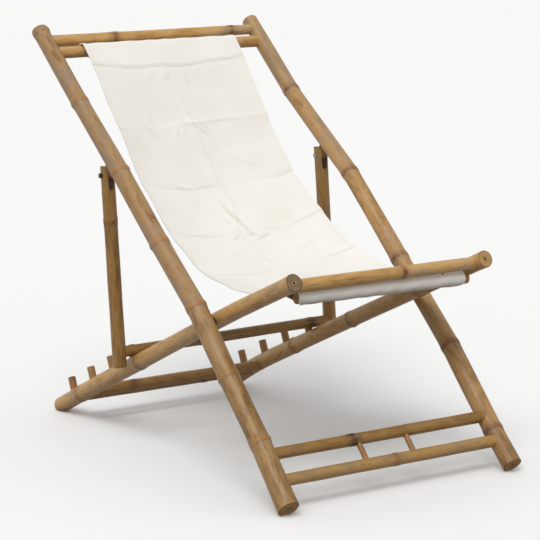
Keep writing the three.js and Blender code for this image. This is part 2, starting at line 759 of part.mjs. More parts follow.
addTo(backFrame, backRail('back_rail_left', -backRailX, leftBackFootRadius, leftBackHeadRadius,
  leftBackNodeShares, leftBackBowShares));
addTo(backFrame, backRail('back_rail_right', backRailX, rightBackFootRadius, rightBackHeadRadius,
  rightBackNodeShares, rightBackBowShares));
addTo(backFrame, crossBar('head_bar', backBarHalf, headBarRadius, headBarNodeShares, headBarAt, bambooGold));
addTo(backFrame, crossBar('head_sling_rod', backBarHalf, headRodRadius, headRodNodeShares, headRodAt,
  bambooGold));
const spindleXs = [spindleShift - spindlePitch / 2, spindleShift + spindlePitch / 2];
const spindleCutters = spindleXs.map((x) => spindleMesh(x, clearance));
addTo(backFrame, cut(crossBar('foot_bar_upper', backBarHalf, footBarUpperRadius, footBarUpperNodeShares,
  footBarUpperAt, bambooBrown), ...spindleCutters));
addTo(backFrame, cut(crossBar('foot_bar_lower', backBarHalf, footBarLowerRadius, footBarLowerNodeShares,
  footBarLowerAt, bambooGold), ...spindleCutters));
['left', 'right'].forEach((label, i) => {
  addTo(backFrame, dowel(`foot_spindle_${label}`, spindleMesh(spindleXs[i], 0)));
});

addTo(seatFrame, seatRail('seat_rail_left', -seatRailX, leftSeatNodeShares, leftSeatBowShares));
addTo(seatFrame, seatRail('seat_rail_right', seatRailX, rightSeatNodeShares, rightSeatBowShares));
const rodPinCutters = [-1, 1].map((side) => rodPinMesh(side, clearance));
addTo(seatFrame, cut(crossBar('seat_front_bar', seatBarHalf, frontBarRadius, frontBarNodeShares, frontBarAt,
  bambooGold), ...rodPinCutters));
addTo(seatFrame, cut(crossBar('seat_sling_rod', seatRodHalf, seatRodRadius, [], seatRodAt,
  bambooBrown, seatRodShift), ...rodPinCutters));
addTo(seatFrame, crossBar('rear_bar_upper', seatBarHalf, rearBarRadius, rearBarUpperNodeShares,
  rearBarUpperAt, bambooBrown));
addTo(seatFrame, crossBar('rear_bar_lower', seatBarHalf, rearBarRadius, rearBarLowerNodeShares,
  rearBarLowerAt, bambooBrown));

const propBar = crossBar('prop_bar', backRailX - propBarEndInset, propBarRadius, propBarNodeShares,
  propBarAt, bambooBrown);

const sides = [
  {
    label: 'left', sign: -1, propNodes: leftPropNodeShares,
    foot: leftBackFootRadius, head: leftBackHeadRadius,
  },
  {
    label: 'right', sign: 1, propNodes: rightPropNodeShares,
    foot: rightBackFootRadius, head: rightBackHeadRadius,
  },
];
for (const { label, sign, propNodes, foot, head } of sides) {
  addTo(backFrame, propTongue(`prop_tongue_${label}`, sign * backRailX));
  addTo(backFrame, pivotPin(`pivot_pin_${label}`, sign));
  addTo(backFrame, pivotSpacer(`pivot_spacer_${label}`, sign, foot, head));
  pegDistances.forEach((distance, i) => {
    addTo(seatFrame, dowel(`peg_${label}_${i + 1}`, pegMesh(sign * seatRailX, distance, 0)));
  });
  addTo(seatFrame, dowel(`rod_pin_${label}`, rodPinMesh(sign, 0)));
  addTo(propFrame, propLeg(`prop_leg_${label}`, sign * backRailX, propNodes));
  addTo(propFrame, propBolt(`prop_bolt_${label}`, sign));
  addTo(propFrame, propNut(`prop_nut_${label}`, sign));
}
addTo(propFrame, propBar);
addTo(backFrame, cut(piece('canvas_sling', slingGeometry(), canvasWhite, 0.95), ...rodPinCutters));

export default recliner;
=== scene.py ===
import math

import bmesh
import bpy
import numpy as np
from mathutils import Matrix, Vector


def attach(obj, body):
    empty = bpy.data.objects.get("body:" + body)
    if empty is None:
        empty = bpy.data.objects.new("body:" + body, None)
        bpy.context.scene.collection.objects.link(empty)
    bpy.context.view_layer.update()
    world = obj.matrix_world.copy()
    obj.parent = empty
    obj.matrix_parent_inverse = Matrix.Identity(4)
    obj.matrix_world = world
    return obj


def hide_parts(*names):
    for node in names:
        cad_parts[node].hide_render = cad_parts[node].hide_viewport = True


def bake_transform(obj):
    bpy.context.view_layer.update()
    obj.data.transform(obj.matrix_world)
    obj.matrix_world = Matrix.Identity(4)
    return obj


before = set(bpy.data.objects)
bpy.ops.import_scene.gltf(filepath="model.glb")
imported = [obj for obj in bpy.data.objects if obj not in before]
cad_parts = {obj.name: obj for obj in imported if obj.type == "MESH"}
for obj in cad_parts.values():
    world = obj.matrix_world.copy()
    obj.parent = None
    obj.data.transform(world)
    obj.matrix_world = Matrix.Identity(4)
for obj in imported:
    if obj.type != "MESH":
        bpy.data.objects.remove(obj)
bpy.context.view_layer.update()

MM = 0.001
LEFT, RIGHT = -1, 1

# Slopes of the poles, in degrees above the level towards the back
BACK_SLOPE = 41.26
SEAT_SLOPE = -23.9004
PROP_SLOPE = 85.4064

# Camera, solved on the photograph
CAMERA_AT = (-2.522, -3.916, 1.224)
CAMERA_AZIMUTH = -32.89
CAMERA_ELEVATION = 10.21
CAMERA_ROLL = -0.69
FOCAL_PIXELS = 2170
IMAGE_PIXELS = 540
SENSOR_WIDTH = 36


# Helpers

def linear(hex_colour):
    """An sRGB hex colour as linear RGBA."""
    values = []
    for i in (1, 3, 5):
        c = int(hex_colour[i:i + 2], 16) / 255
        values.append(c / 12.92 if c <= 0.04045 else ((c + 0.055) / 1.055) ** 2.4)
    return (*values, 1.0)


def connect(tree, node, links):
    """Feeds a node's inputs from values, hex colours, sockets, or the first outputs in use of nodes."""
    for key, value in links.items():
        if isinstance(value, str):
            value = linear(value)
        if isinstance(value, bpy.types.Node):
            value = next(socket for socket in value.outputs if socket.enabled)
        if isinstance(value, bpy.types.NodeSocket):
            tree.links.new(value, node.inputs[key])
        else:
            node.inputs[key].default_value = value


def add(tree, kind, links=None, stops=(), **settings):
    """Adds a node with its settings, its inputs and, on a ramp, its stops."""
    node = tree.nodes.new("ShaderNode" + kind)
    for key, value in settings.items():
        setattr(node, key, value)
    connect(tree, node, links or {})
    for i, (place, colour) in enumerate(stops):
        elements = node.color_ramp.elements
        element = elements[i] if i < 2 else elements.new(place)
        element.position = place
        element.color = linear(colour) if isinstance(colour, str) else (colour, colour, colour, 1)
    return node


def new_material(name):
    """A material with a shader for its pattern to feed."""
    material = bpy.data.materials.new(name)
    material.use_nodes = True
    tree = material.node_tree
    tree.nodes.clear()
    shader = add(tree, "BsdfPrincipled")
    add(tree, "OutputMaterial", {0: shader})
    return material, tree, shader


def new_piece(name, vertices, faces, materials, turn_out=False):
    """A mesh piece from vertices in millimetres; turn_out makes all its faces look outward."""
    mesh = bpy.data.meshes.new(name)
    mesh.from_pydata((np.array(vertices) * MM).tolist(), [], faces)
    for material in materials:
        mesh.materials.append(material)
    if turn_out:
        edit = bmesh.new()
        edit.from_mesh(mesh)
        bmesh.ops.recalc_face_normals(edit, faces=edit.faces)
        edit.to_mesh(mesh)
        edit.free()
    piece = bpy.data.objects.new(name, mesh)
    bpy.context.scene.collection.objects.link(piece)
    return piece


def store(piece, name, values):
    """Writes a number or a vector for each vertex, which the materials read."""
    values = np.asarray(values, np.float32)
    kind, key = ("FLOAT_VECTOR", "vector") if values.ndim == 2 else ("FLOAT", "value")
    piece.data.attributes.new(name, kind, "POINT").data.foreach_set(key, values.ravel())


def smooth(mesh, sharp_angle):
    """Smooth shading, but for edges that turn by more than sharp_angle degrees."""
    for polygon in mesh.polygons:
        polygon.use_smooth = True
    mesh.set_sharp_from_angle(angle=math.radians(sharp_angle))


def run_along(points):
    """Distance of each point along the line through them all."""
    return np.concatenate([[0], np.cumsum(np.linalg.norm(np.diff(points, axis=0), axis=1))])


# Materials

def lacquered_bamboo(name, pale, warm, grey, dark, band):
    """Solid bamboo pole, scraped, smoked over a fire and lacquered: a golden skin with grey bloom and a soft
    gloss, fine long fibres, short dark scratches along them and an uneven orange-tan band at each node."""
    material, tree, shader = new_material(name)
    place = add(tree, "Attribute", attribute_name="cane").outputs["Vector"]
    seed, knot, tone, bud, soot = (add(tree, "Attribute", attribute_name=value).outputs["Fac"]
                                   for value in ("seed", "knot", "tone", "bud", "soot"))

    # Patterns drawn out along the pole: clouds 3 times, fibres 70, mottles 5 and scratches 14 times
    cloud_way, long_way, mottle_way, dash_way = (
        add(tree, "VectorMath", {0: place, 1: (1, 1, 1 / stretch)}, operation="MULTIPLY")
        for stretch in (3, 70, 5, 14))
    # Clouds of bloom and smoke 24 mm across
    cloud = add(tree, "TexNoise", {"Vector": cloud_way, "W": seed, "Scale": 1 / (24 * MM), "Detail": 4.0,
                                   "Roughness": 0.55, "Distortion": 0.5}, noise_dimensions="4D")
    # Fibres 1.1 mm apart across the pole, drawn a little coarser than real ones so that they show
    fibre = add(tree, "TexNoise", {"Vector": long_way, "W": seed, "Scale": 1 / (1.1 * MM), "Detail": 3.0,
                                   "Roughness": 0.6}, noise_dimensions="4D")
    # Mottles 7 mm wide, and all of these added up to a tone
    mottle = add(tree, "TexNoise", {"Vector": mottle_way, "W": seed, "Scale": 1 / (7 * MM), "Detail": 3.0,
                                    "Roughness": 0.6}, noise_dimensions="4D")
    mixed = -0.57
    for part, weight in ((cloud, 1.1), (tone, 0.13), (fibre, 0.5), (mottle, 0.6)):
        mixed = add(tree, "Math", {0: part, 1: weight, 2: mixed}, operation="MULTIPLY_ADD")
    skin = add(tree, "ValToRGB", {0: mixed},
               stops=[(0.1, dark), (0.36, warm), (0.54, pale), (0.7, grey), (0.92, warm)])

    # Scratches and mould streaks, about 1 mm wide in real bamboo, drawn at 1.9 mm so that they show, some
    # 25 mm long and only on a part of the pole
    dash = add(tree, "TexNoise", {"Vector": dash_way, "W": seed, "Scale": 1 / (1.9 * MM), "Detail": 2.0,
                                  "Roughness": 0.5}, noise_dimensions="4D")
    dash = add(tree, "ValToRGB", {0: dash}, stops=[(0.6, 0.0), (0.66, 0.9)])
    where = add(tree, "TexNoise", {"Vector": cloud_way, "W": tone, "Scale": 1 / (34 * MM), "Detail": 1.0},
                noise_dimensions="4D")
    where = add(tree, "ValToRGB", {0: where}, stops=[(0.47, 0.04), (0.61, 1.0)])
    dash = add(tree, "Math", {0: dash, 1: where}, operation="MULTIPLY")

    # By the distance from a node: waxy grey below it, a dark scar line, and the band that fades upward
    ripple = add(tree, "TexNoise", {"Vector": place, "W": seed, "Scale": 1 / (9 * MM), "Detail": 2.0},
                 noise_dimensions="4D")
    wavy = add(tree, "Math", {0: ripple, 1: 7 * MM, 2: -3.5 * MM}, operation="MULTIPLY_ADD")
    wavy = add(tree, "Math", {0: knot, 1: wavy}, operation="ADD")
    reach = add(tree, "MapRange", {"Value": wavy, "From Min": -30 * MM, "From Max": 30 * MM})
    amount = add(tree, "ValToRGB", {0: reach},
                 stops=[(0.2, 0.0), (0.4, 0.4), (0.43, 0.8), (0.452, 0.72), (0.56, 0.68), (0.62, 0.24),
                        (0.8, 0.0)])
    uneven = add(tree, "MapRange", {"Value": mottle, "From Min": 0.3, "From Max": 0.62, "To Min": 0.5,
                                    "To Max": 1.15})
    amount = add(tree, "Math", {0: amount, 1: uneven}, operation="MULTIPLY", use_clamp=True)
    tint = add(tree, "ValToRGB", {0: reach},
               stops=[(0.0, grey), (0.41, grey), (0.43, dark), (0.45, band), (0.6, band), (0.68, warm)])

    # Soot burnt in round some nodes, in patches that fade out 25 mm away, and dark bud scars
    far = add(tree, "Math", {0: knot}, operation="ABSOLUTE")
    near = add(tree, "MapRange", {"Value": far, "From Min": 25 * MM, "From Max": 4 * MM})
    patchy = add(tree, "ValToRGB", {0: mottle}, stops=[(0.36, 0.0), (0.56, 1.0)])
    burnt = add(tree, "Math", {0: near, 1: soot}, operation="MULTIPLY")
    burnt = add(tree, "Math", {0: burnt, 1: patchy}, operation="MULTIPLY")
    scar = add(tree, "ValToRGB", {0: bud}, stops=[(0.0, band), (0.3, band), (0.62, SOOT)])
    for share, colour in ((dash, dark), (amount, tint), (burnt, SOOT), (bud, scar)):
        skin = add(tree, "Mix", {"Factor": share, "A": skin, "B": colour}, data_type="RGBA")

    # Specks of mould up to 3 mm across, and pale flecks up to 2 mm where the scraper skipped
    for spacing, stops, colour in ((13, [(0.07, 0.6), (0.12, 0.0)], dark),
                                   (5.5, [(0.12, 0.5), (0.2, 0.0)], FLECK)):
        cells = add(tree, "TexVoronoi", {"Vector": place, "W": seed, "Scale": 1 / (spacing * MM)},
                    voronoi_dimensions="4D")
        specks = add(tree, "ValToRGB", {0: cells}, stops=stops)
        skin = add(tree, "Mix", {"Factor": specks, "A": skin, "B": colour}, data_type="RGBA")

    gloss = add(tree, "ValToRGB", {0: fibre}, stops=[(0.3, 0.42), (0.7, 0.6)])
    relief = add(tree, "Math", {0: cloud, 1: 0.7, 2: fibre}, operation="MULTIPLY_ADD")
    bump = add(tree, "Bump", {"Height": relief, "Strength": 0.3, "Distance": 0.5 * MM})
    connect(tree, shader, {"Base Color": skin, "Roughness": gloss, "Normal": bump, "IOR": 1.5,
                           "Coat Weight": 0.18, "Coat Roughness": 0.36})
    return material


def sawn_bamboo(name, face, fibre_colour, rind, pith):
    """Sawn end of solid bamboo: matt, with fibre ends closer together towards a hard dark rind and rings
    round the pith."""
    material, tree, shader = new_material(name)
    place = add(tree, "Attribute", attribute_name="cane").outputs["Vector"]
    rim = add(tree, "Attribute", attribute_name="rim").outputs["Fac"]
    # Fibre ends 1.9 mm apart, drawn twice as coarse as real ones so that they show
    flat = add(tree, "VectorMath", {0: place, 1: (1, 1, 1 / 8)}, operation="MULTIPLY")
    ends = add(tree, "TexVoronoi", {"Vector": flat, "Scale": 1 / (1.9 * MM)})
    dots = add(tree, "ValToRGB", {0: ends}, stops=[(0.18, 1.0), (0.42, 0.0)])
    dense = add(tree, "ValToRGB", {0: rim}, stops=[(0.3, 0.15), (0.75, 0.35), (0.95, 0.8)])
    dots = add(tree, "Math", {0: dots, 1: dense}, operation="MULTIPLY")
    # Dirt in patches 9 mm across
    dirt = add(tree, "TexNoise", {"Vector": place, "Scale": 1 / (9 * MM), "Detail": 4.0})
    dirt = add(tree, "ValToRGB", {0: dirt}, stops=[(0.4, 0.0), (0.8, 0.5)])
    wood = add(tree, "ValToRGB", {0: rim},
               stops=[(0.0, rind), (0.12, rind), (0.15, pith), (0.24, pith), (0.3, fibre_colour),
                      (0.4, face), (0.86, face), (0.93, rind)])
    for share, over in ((dirt, rind), (dots, fibre_colour)):
        wood = add(tree, "Mix", {"Factor": share, "A": wood, "B": over}, data_type="RGBA")
    bump = add(tree, "Bump", {"Height": ends, "Strength": 0.4, "Distance": 0.4 * MM})
    connect(tree, shader, {"Base Color": wood, "Roughness": 0.75, "Normal": bump, "IOR": 1.5})
    return material


def woven_canvas(name, colour, shade, crease_shade):
    """Undyed cotton duck in a plain weave: matt and off-white, with slubs, a faint yellow cast in patches
    and painted shade along its folds, wrinkles and seam."""
    material, tree, shader = new_material(name)
    cloth = add(tree, "Attribute", attribute_name="cloth").outputs["Vector"]
    fold = add(tree, "Attribute", attribute_name="fold").outputs["Fac"]
    # Threads 1.1 mm apart, drawn coarser than the real 0.6 mm so that they show
    threads = add(tree, "SeparateXYZ", {0: cloth})
    waves = []
    for axis in (0, 1):
        turn = add(tree, "Math", {0: threads.outputs[axis], 1: math.pi / (1.1 * MM)}, operation="MULTIPLY")
        wave = add(tree, "Math", {0: turn}, operation="SINE")
        waves.append(add(tree, "Math", {0: wave}, operation="ABSOLUTE"))
    weave = add(tree, "Math", {0: waves[0], 1: waves[1]}, operation="MULTIPLY")
    # Slubs 6 mm long, and the yellow cast in patches 110 mm across
    slub = add(tree, "TexNoise", {"Vector": cloth, "Scale": 1 / (6 * MM), "Detail": 3.0})
    patch = add(tree, "TexNoise", {"Vector": cloth, "Scale": 1 / (110 * MM), "Detail": 3.0})
    cast = add(tree, "ValToRGB", {0: patch}, stops=[(0.35, 0.0), (0.75, 0.55)])
    gaps = add(tree, "ValToRGB", {0: weave}, stops=[(0.0, 0.14), (0.35, 0.0)])
    # The fold attribute darkens the cloth with painted shade along its folds, wrinkles and seam
    tint = colour
    for share, over in ((cast, shade), (gaps, shade), (fold, crease_shade)):
        tint = add(tree, "Mix", {"Factor": share, "A": tint, "B": over}, data_type="RGBA")
    # Soft crumples 28 mm across under the weave
    crumple = add(tree, "TexNoise", {"Vector": cloth, "Scale": 1 / (28 * MM), "Detail": 4.0,
                                     "Roughness": 0.55, "Distortion": 0.8})
    rough = add(tree, "Bump", {"Height": crumple, "Strength": 0.5, "Distance": 1.6 * MM})
    fine = add(tree, "Math", {0: slub, 1: 0.6, 2: weave}, operation="MULTIPLY_ADD")
    bump = add(tree, "Bump", {"Height": fine, "Strength": 0.3, "Distance": 0.25 * MM, "Normal": rough})
    connect(tree, shader, {"Base Color": tint, "Roughness": 0.92, "Normal": bump, "Sheen Weight": 0.15,
                           "Sheen Roughness": 0.5, "Specular IOR Level": 0.3})
    return material


def twisted_thread(name, colour, shade):
    """Twisted cotton sewing thread: matt, a little darker where it sinks into the cloth, every 0.8 mm."""
    material, tree, shader = new_material(name)
    place = add(tree, "TexCoord").outputs["Object"]
    twist = add(tree, "TexNoise", {"Vector": place, "Scale": 1 / (0.8 * MM)})
    tint = add(tree, "ValToRGB", {0: twist}, stops=[(0.3, colour), (0.7, shade)])
    connect(tree, shader, {"Base Color": tint, "Roughness": 0.85})
    return material


def turned_steel(name, colour, worn, roughness, metallic):
    """Turned steel, plated or blackened and gone dull outdoors: a soft sheen, with duller brown patches 3 mm
    across."""
    material, tree, shader = new_material(name)
    place = add(tree, "TexCoord").outputs["Object"]
    patch = add(tree, "TexNoise", {"Vector": place, "Scale": 1 / (3 * MM), "Detail": 4.0})
    tint = add(tree, "ValToRGB", {0: patch}, stops=[(0.35, colour), (0.7, worn)])
    gloss = add(tree, "ValToRGB", {0: patch}, stops=[(0.3, roughness), (0.7, roughness + 0.2)])
    bump = add(tree, "Bump", {"Height": patch, "Strength": 0.15, "Distance": 0.2 * MM})
    connect(tree, shader, {"Base Color": tint, "Roughness": gloss, "Metallic": metallic, "Normal": bump})
    return material


def planed_bamboo(name, light, dark):
    """Block planed from thick bamboo: satin, with straight close fibres and no skin."""
    material, tree, shader = new_material(name)
    place = add(tree, "TexCoord").outputs["Object"]
    turn = add(tree, "VectorRotate", {"Vector": place, "Angle": math.radians(-BACK_SLOPE)},
               rotation_type="X_AXIS")
    long_way = add(tree, "VectorMath", {0: turn, 1: (1, 1, 1 / 30)}, operation="MULTIPLY")
    # Fibres 1.1 mm apart, a little coarser than real ones so that they show
    fibre = add(tree, "TexNoise", {"Vector": long_way, "Scale": 1 / (1.1 * MM), "Detail": 3.0})
    tint = add(tree, "ValToRGB", {0: fibre}, stops=[(0.3, dark), (0.7, light)])
    bump = add(tree, "Bump", {"Height": fibre, "Strength": 0.3, "Distance": 0.3 * MM})
    connect(tree, shader, {"Base Color": tint, "Roughness": 0.6, "Normal": bump})
    return material


def studio_paper(name, colour):
    """Seamless rolled paper: even, pale and matt."""
    material, tree, shader = new_material(name)
    connect(tree, shader, {"Base Color": colour, "Roughness": 0.95, "Specular IOR Level": 0.1})
    return material


# Skins of the poles: pale, warm, grey with bloom, dark, and the band at the nodes
SOOT, FLECK = "#42260F", "#D9B983"
TAN = lacquered_bamboo("lacquered_bamboo_tan", "#AB8552", "#926D3A", "#987E64", "#5C4127", "#A9753C")
# Russet: a redder band at the nodes, and a skin made lighter as painted light, for the pole that the canvas
# shades
RUSSET_PAINTED_LIGHT = lacquered_bamboo("lacquered_bamboo_russet_painted_light", "#B88D54", "#9C743E", "#9F8463", "#604328", "#834C27")
AMBER = lacquered_bamboo("lacquered_bamboo_amber", "#B1884A", "#A07737", "#9A7D55", "#6A4A27", "#A06C31")
# Honey: a golden skin made lighter as painted light, for the seat poles in the canvas's shadow; the head rod
# shares it
HONEY_PAINTED_LIGHT = lacquered_bamboo("lacquered_bamboo_honey_painted_light", "#CFA263", "#B28648", "#AC8C62", "#785530", "#B07A3E")
# Gold: a golden skin made lighter as painted light, for the head and front bars that light from above
# brightens; the rod pins share it
GOLD_PAINTED_LIGHT = lacquered_bamboo("lacquered_bamboo_gold_painted_light", "#CDA263", "#B98C49", "#B49773", "#86633A", "#965624")
BROWN = lacquered_bamboo("lacquered_bamboo_brown", "#9E7536", "#866024", "#876941", "#523817", "#885526")
DOWEL = lacquered_bamboo("lacquered_bamboo_dowel", "#A5743A", "#8C5D2A", "#8C6A44", "#5C3D1E", "#945E2A")
# Sawn ends: face, fibre ends, rind and pith; the left front end has greyed outdoors
SAWN = sawn_bamboo("sawn_bamboo_end", "#C0965F", "#9A7040", "#6E5034", "#B59C70")
WEATHERED = sawn_bamboo("weathered_bamboo_end", "#8B7355", "#6A5038", "#4A3628", "#BDA273")
# Canvas: its colour, the colour of its yellow cast and weave gaps, and the painted shade for its folds
CANVAS = woven_canvas("undyed_cotton_canvas", "#F6F3ED", "#EBE5D8", "#C9BFAA")
THREAD = twisted_thread("cotton_thread", "#F3EFE6", "#DDD7C8")
BRIGHT = turned_steel("dull_zinc_plated_steel", "#A8A49B", "#7D7468", 0.38, 1.0)
DARK = turned_steel("blackened_steel", "#3B3632", "#57493C", 0.5, 0.85)
PLANED = planed_bamboo("planed_bamboo_block", "#9C7748", "#6A4A2A")
FLOOR = studio_paper("studio_paper", "#FAFAF9")


# Poles. Distances are in millimetres

RING_GAP = 9.0
# Rings round a node, by their distance from it
NODE_RINGS = np.array([-9, -7, -5.5, -4.6, -3.8, -3.1, -2.4, -1.6, -0.8, 0, 1, 2.2, 3.6, 5, 6.4, 7.6, 8.8,
                       10, 12])
# Least distance of a node from the pole's end
END_MARGIN = 9.0
# Rings over a sawn end, and its pith hole as a share of the radius and a depth
END_RINGS, PITH, PITH_DEPTH = 10, 0.14, 12.0
# Distance from a node that counts as none near
NO_NODE = 50.0
# Distance over which a pole's bends are rounded
BEND_EASE = 20.0
SHARP_EDGE = 38


def smooth_table(table, shares, reach):
    """Reads a table of (share, value) by straight lines, rounded over reach on both sides."""
    xs, ys = zip(*table)
    steps = np.linspace(-1, 1, 9)
    return np.mean([np.interp(shares + s * reach, xs, ys) for s in steps], axis=0)


def axes_of(slope):
    """Direction and upward normal of a pole in the side view, leaning by slope degrees."""
    a = math.radians(slope)
    return Vector((0, math.cos(a), math.sin(a))), Vector((0, -math.sin(a), math.cos(a)))


def end_rings(edge, hole):
    """Rings from the pith hole over the sawn face to its bevel, as depth, radii and share of the radius."""
    radius = edge.mean()
    rings = [(PITH_DEPTH, radius * hole * 0.7, 0.02), (1.2, radius * hole, 0.12),
             (0.1, radius * hole * 1.25, 0.15)]
    rings += [(0.0, np.full(len(edge), radius * share), share) for share in (0.22, 0.3, 0.42, 0.65, 0.86)]
    return rings + [(0.0, edge - 1.0, 0.94), (0.35, edge - 0.3, 1.0)]


def cut_fork(piece, cutter):
    """Cuts the slot for the tongue into a prop leg, and uses up the cutter."""
    boolean = piece.modifiers.new("fork", "BOOLEAN")
    boolean.object = cutter
    boolean.operation = "DIFFERENCE"
    boolean.solver = "EXACT"
    graph = bpy.context.evaluated_depsgraph_get()
    forked = bpy.data.meshes.new_from_object(piece.evaluated_get(graph))
    piece.modifiers.clear()
    piece.data = forked
    bpy.data.objects.remove(cutter)


def cane_skin(length, radii, knots, seed, theta, knot_height=1.3, flare=0.0, bud_turn=None, bud_size=1.0,
              paler=0.0):
    """Rings of a pole's skin: places, radii, distances from a node, bud scars and shades, and the rim of its
    pith hole. Knots are shares of its length, flare widens its first end, bud_turn is the angle of its first
    bud and paler lightens its second end."""
    draw = np.random.default_rng(seed)
    # Rings at even gaps, and closer ones at the nodes and near the ends
    knot_at = np.clip(np.array(sorted(knots)) * length, END_MARGIN, length - END_MARGIN)
    stations = [np.arange(4.0, length - 3.0, RING_GAP), *(at + NODE_RINGS for at in knot_at),
                [1.4, 2.4, length - 2.4, length - 1.4]]
    places = np.unique(np.round(np.concatenate(stations), 2))
    places = places[(places > 1.2) & (places < length - 1.2)]
    phase = draw.uniform(0, 2 * math.pi, 3)

    # A tapering, waisted pole, a little oval and lumpy all along
    taper = radii[0] + (radii[1] - radii[0]) * places / length + flare * np.exp(-(places / 22) ** 2)
    waist = 0.012 * taper * np.cos(places / length * 2 * math.pi * (2 + seed % 3) + seed)
    oval = 0.012 * np.cos(2 * (theta + phase[0]) + places[:, None] / 160)
    lumps = 0.006 * np.cos(3 * theta + phase[1] + places[:, None] / 45)
    # The signed distance from the nearest node, whose scar ring runs a little askew, and the swelling there
    nearest = np.full(len(places), NO_NODE)
    if len(knot_at):
        gaps = places[:, None] - knot_at
        nearest = gaps[np.arange(len(places)), np.abs(gaps).argmin(1)]
    askew = 0.075 * radii[0] * np.cos(theta - phase[1]) + 0.03 * radii[0] * np.cos(3 * theta - phase[0])
    nearest = nearest[:, None] + askew
    swell = knot_height * np.exp(-((nearest - 3) / 8) ** 2)
    swell += 0.5 * np.exp(-((nearest + 3.6) / 0.9) ** 2) - 0.35 * np.exp(-((nearest + 1.6) / 1.2) ** 2)
    swell += 0.25 * np.exp(-((nearest - 8) / 3.4) ** 2)
    radius = (taper + waist)[:, None] * (1 + oval + lumps) + swell
    # A bud scar on alternate sides of the nodes, with a shallow groove above it
    bud = np.zeros_like(radius)
    width = 4.6 * bud_size / radii[0]
    for k, at in enumerate(knot_at):
        side = (phase[2] if bud_turn is None else math.radians(bud_turn)) + k * math.pi
        around = np.angle(np.exp(1j * (theta - side)))
        above = places[:, None] - at
        spot = np.exp(-(around / width) ** 2) * np.exp(-((above - 2) / (3.4 * bud_size)) ** 2)
        groove = np.exp(-(around / (width * 1.5)) ** 2) * np.clip((above - 6) / 6, 0, 1)
        radius += 0.9 * spot - 0.4 * groove * np.exp(-np.clip(above, 0, None) / 45)
        bud += spot
    # Shade of each internode, paler towards the top of the plant
    tones = draw.uniform(-0.6, 0.6, len(knot_at) + 1) + np.linspace(-1, 1, len(knot_at) + 1) * paler
    tone = np.repeat(tones[np.searchsorted(knot_at, places)][:, None], len(theta), 1)
    hole = PITH * (1 + 0.18 * np.cos(2 * theta + phase[0]) + 0.1 * np.cos(5 * theta + phase[1]))
    return places, radius, nearest, bud, tone, hole


def cane(node, body, start, direction, up, length, radii, knots, finish, seed, sides, bow=((0, 0), (1, 0)),
         bow_height=0.0, fork=None, flat_feet=False, soot=0.0, ends=(SAWN, SAWN), **marks):
    """A natural pole that stands for a CAD pole: bow times bow_height is its bend, soot darkens its nodes,
    and the marks are those of its skin."""
    theta = np.arange(sides) / sides * 2 * math.pi
    places, radius, nearest, bud, tone, hole = cane_skin(length, radii, knots, seed, theta, **marks)
    rings = [*end_rings(radius[0], hole), *((at, values, 1.0) for at, values in zip(places, radius))]
    rings += [(length - depth, values, share) for depth, values, share in end_rings(radius[-1], hole)[::-1]]
    ring_t, ring_r, ring_rim = (np.array(column) for column in zip(*rings))
    across, up = np.array(direction.cross(up)), np.array(up)
    bends = bow_height * smooth_table(bow, np.clip(ring_t / length, 0, 1), BEND_EASE / length)
    local_x, local_y = ring_r * np.sin(theta), ring_r * np.cos(theta)
    centre = np.array(start) + ring_t[:, None] * np.array(direction) + bends[:, None] * up
    points = centre[:, None] + local_x[:, :, None] * across + local_y[:, :, None] * up
    vertices = np.vstack([points.reshape(-1, 3), centre[0], centre[-1]])
    if flat_feet:
        vertices[:, 2] = np.maximum(vertices[:, 2], 0.0)

    faces = []
    for a in range(0, (len(rings) - 1) * sides, sides):
        for j in range(sides):
            k = (j + 1) % sides
            faces.append((a + j, a + sides + j, a + sides + k, a + k))
    middle, last = len(rings) * sides, (len(rings) - 1) * sides
    for j in range(sides):
        k = (j + 1) % sides
        faces += [(middle, j, k), (middle + 1, last + k, last + j)]
    piece = new_piece(node + "_natural", vertices, faces, [finish, *ends])

    def spread(values):
        """Values of the skin's rings, carried over the sawn ends and their middles."""
        grid = np.pad(values, ((END_RINGS, END_RINGS), (0, 0)), "edge")
        return np.append(grid, [grid[0, 0], grid[-1, 0]])

    place = np.stack([local_x, local_y, np.repeat(ring_t[:, None], sides, 1)], -1).reshape(-1, 3)
    store(piece, "cane", np.vstack([place, [0, 0, ring_t[0]], [0, 0, ring_t[-1]]]) * MM)
    store(piece, "knot", spread(nearest) * MM)
    store(piece, "tone", spread(tone))
    store(piece, "bud", np.clip(spread(bud), 0, 1) * 0.8)
    store(piece, "seed", np.full(len(vertices), seed * 3.7))
    store(piece, "soot", np.full(len(vertices), soot))
    store(piece, "rim", np.append(np.repeat(ring_rim, sides), [0.0, 0.0]))
    slots = np.zeros(len(rings) - 1, np.int32)
    slots[:END_RINGS - 1] = 1
    slots[1 - END_RINGS:] = 2
    piece.data.polygons.foreach_set("material_index", np.append(np.repeat(slots, sides), [1, 2] * sides))
    piece.data.validate()
    if fork is not None:
        cut_fork(piece, fork)
    smooth(piece.data, SHARP_EDGE)
    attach(piece, body)
    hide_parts(node)


def fork_cutter(x, pivot, slope):
    """Slot with a round bottom, across the head of a prop leg."""
    direction, up = axes_of(slope)
    half = FORK_WIDTH / 2
    outline = [(half, FORK_TOP)]
    for i in range(13):
        a = -math.pi * i / 12
        outline.append((half * math.cos(a), -FORK_DEPTH + half + half * math.sin(a)))
    outline.append((-half, FORK_TOP))
    vertices = [Vector((x + across, *pivot)) + direction * along + up * side
                for side in (-FORK_REACH, FORK_REACH) for across, along in outline]
    n = len(outline)
    faces = [tuple(range(n)), tuple(range(2 * n - 1, n - 1, -1))]
    faces += [(i, n + i, n + (i + 1) % n, (i + 1) % n) for i in range(n)]
    return new_piece("fork_cutter", vertices, faces, [SAWN], turn_out=True)


BACK_X, SEAT_X = 280.0, 235.5
BACK_FOOT, SEAT_FRONT = (-506.0, 14.06), (-468.28, 449.24)
back_along, back_up = axes_of(BACK_SLOPE)
seat_along, seat_up = axes_of(SEAT_SLOPE)
prop_along, prop_up = axes_of(PROP_SLOPE)

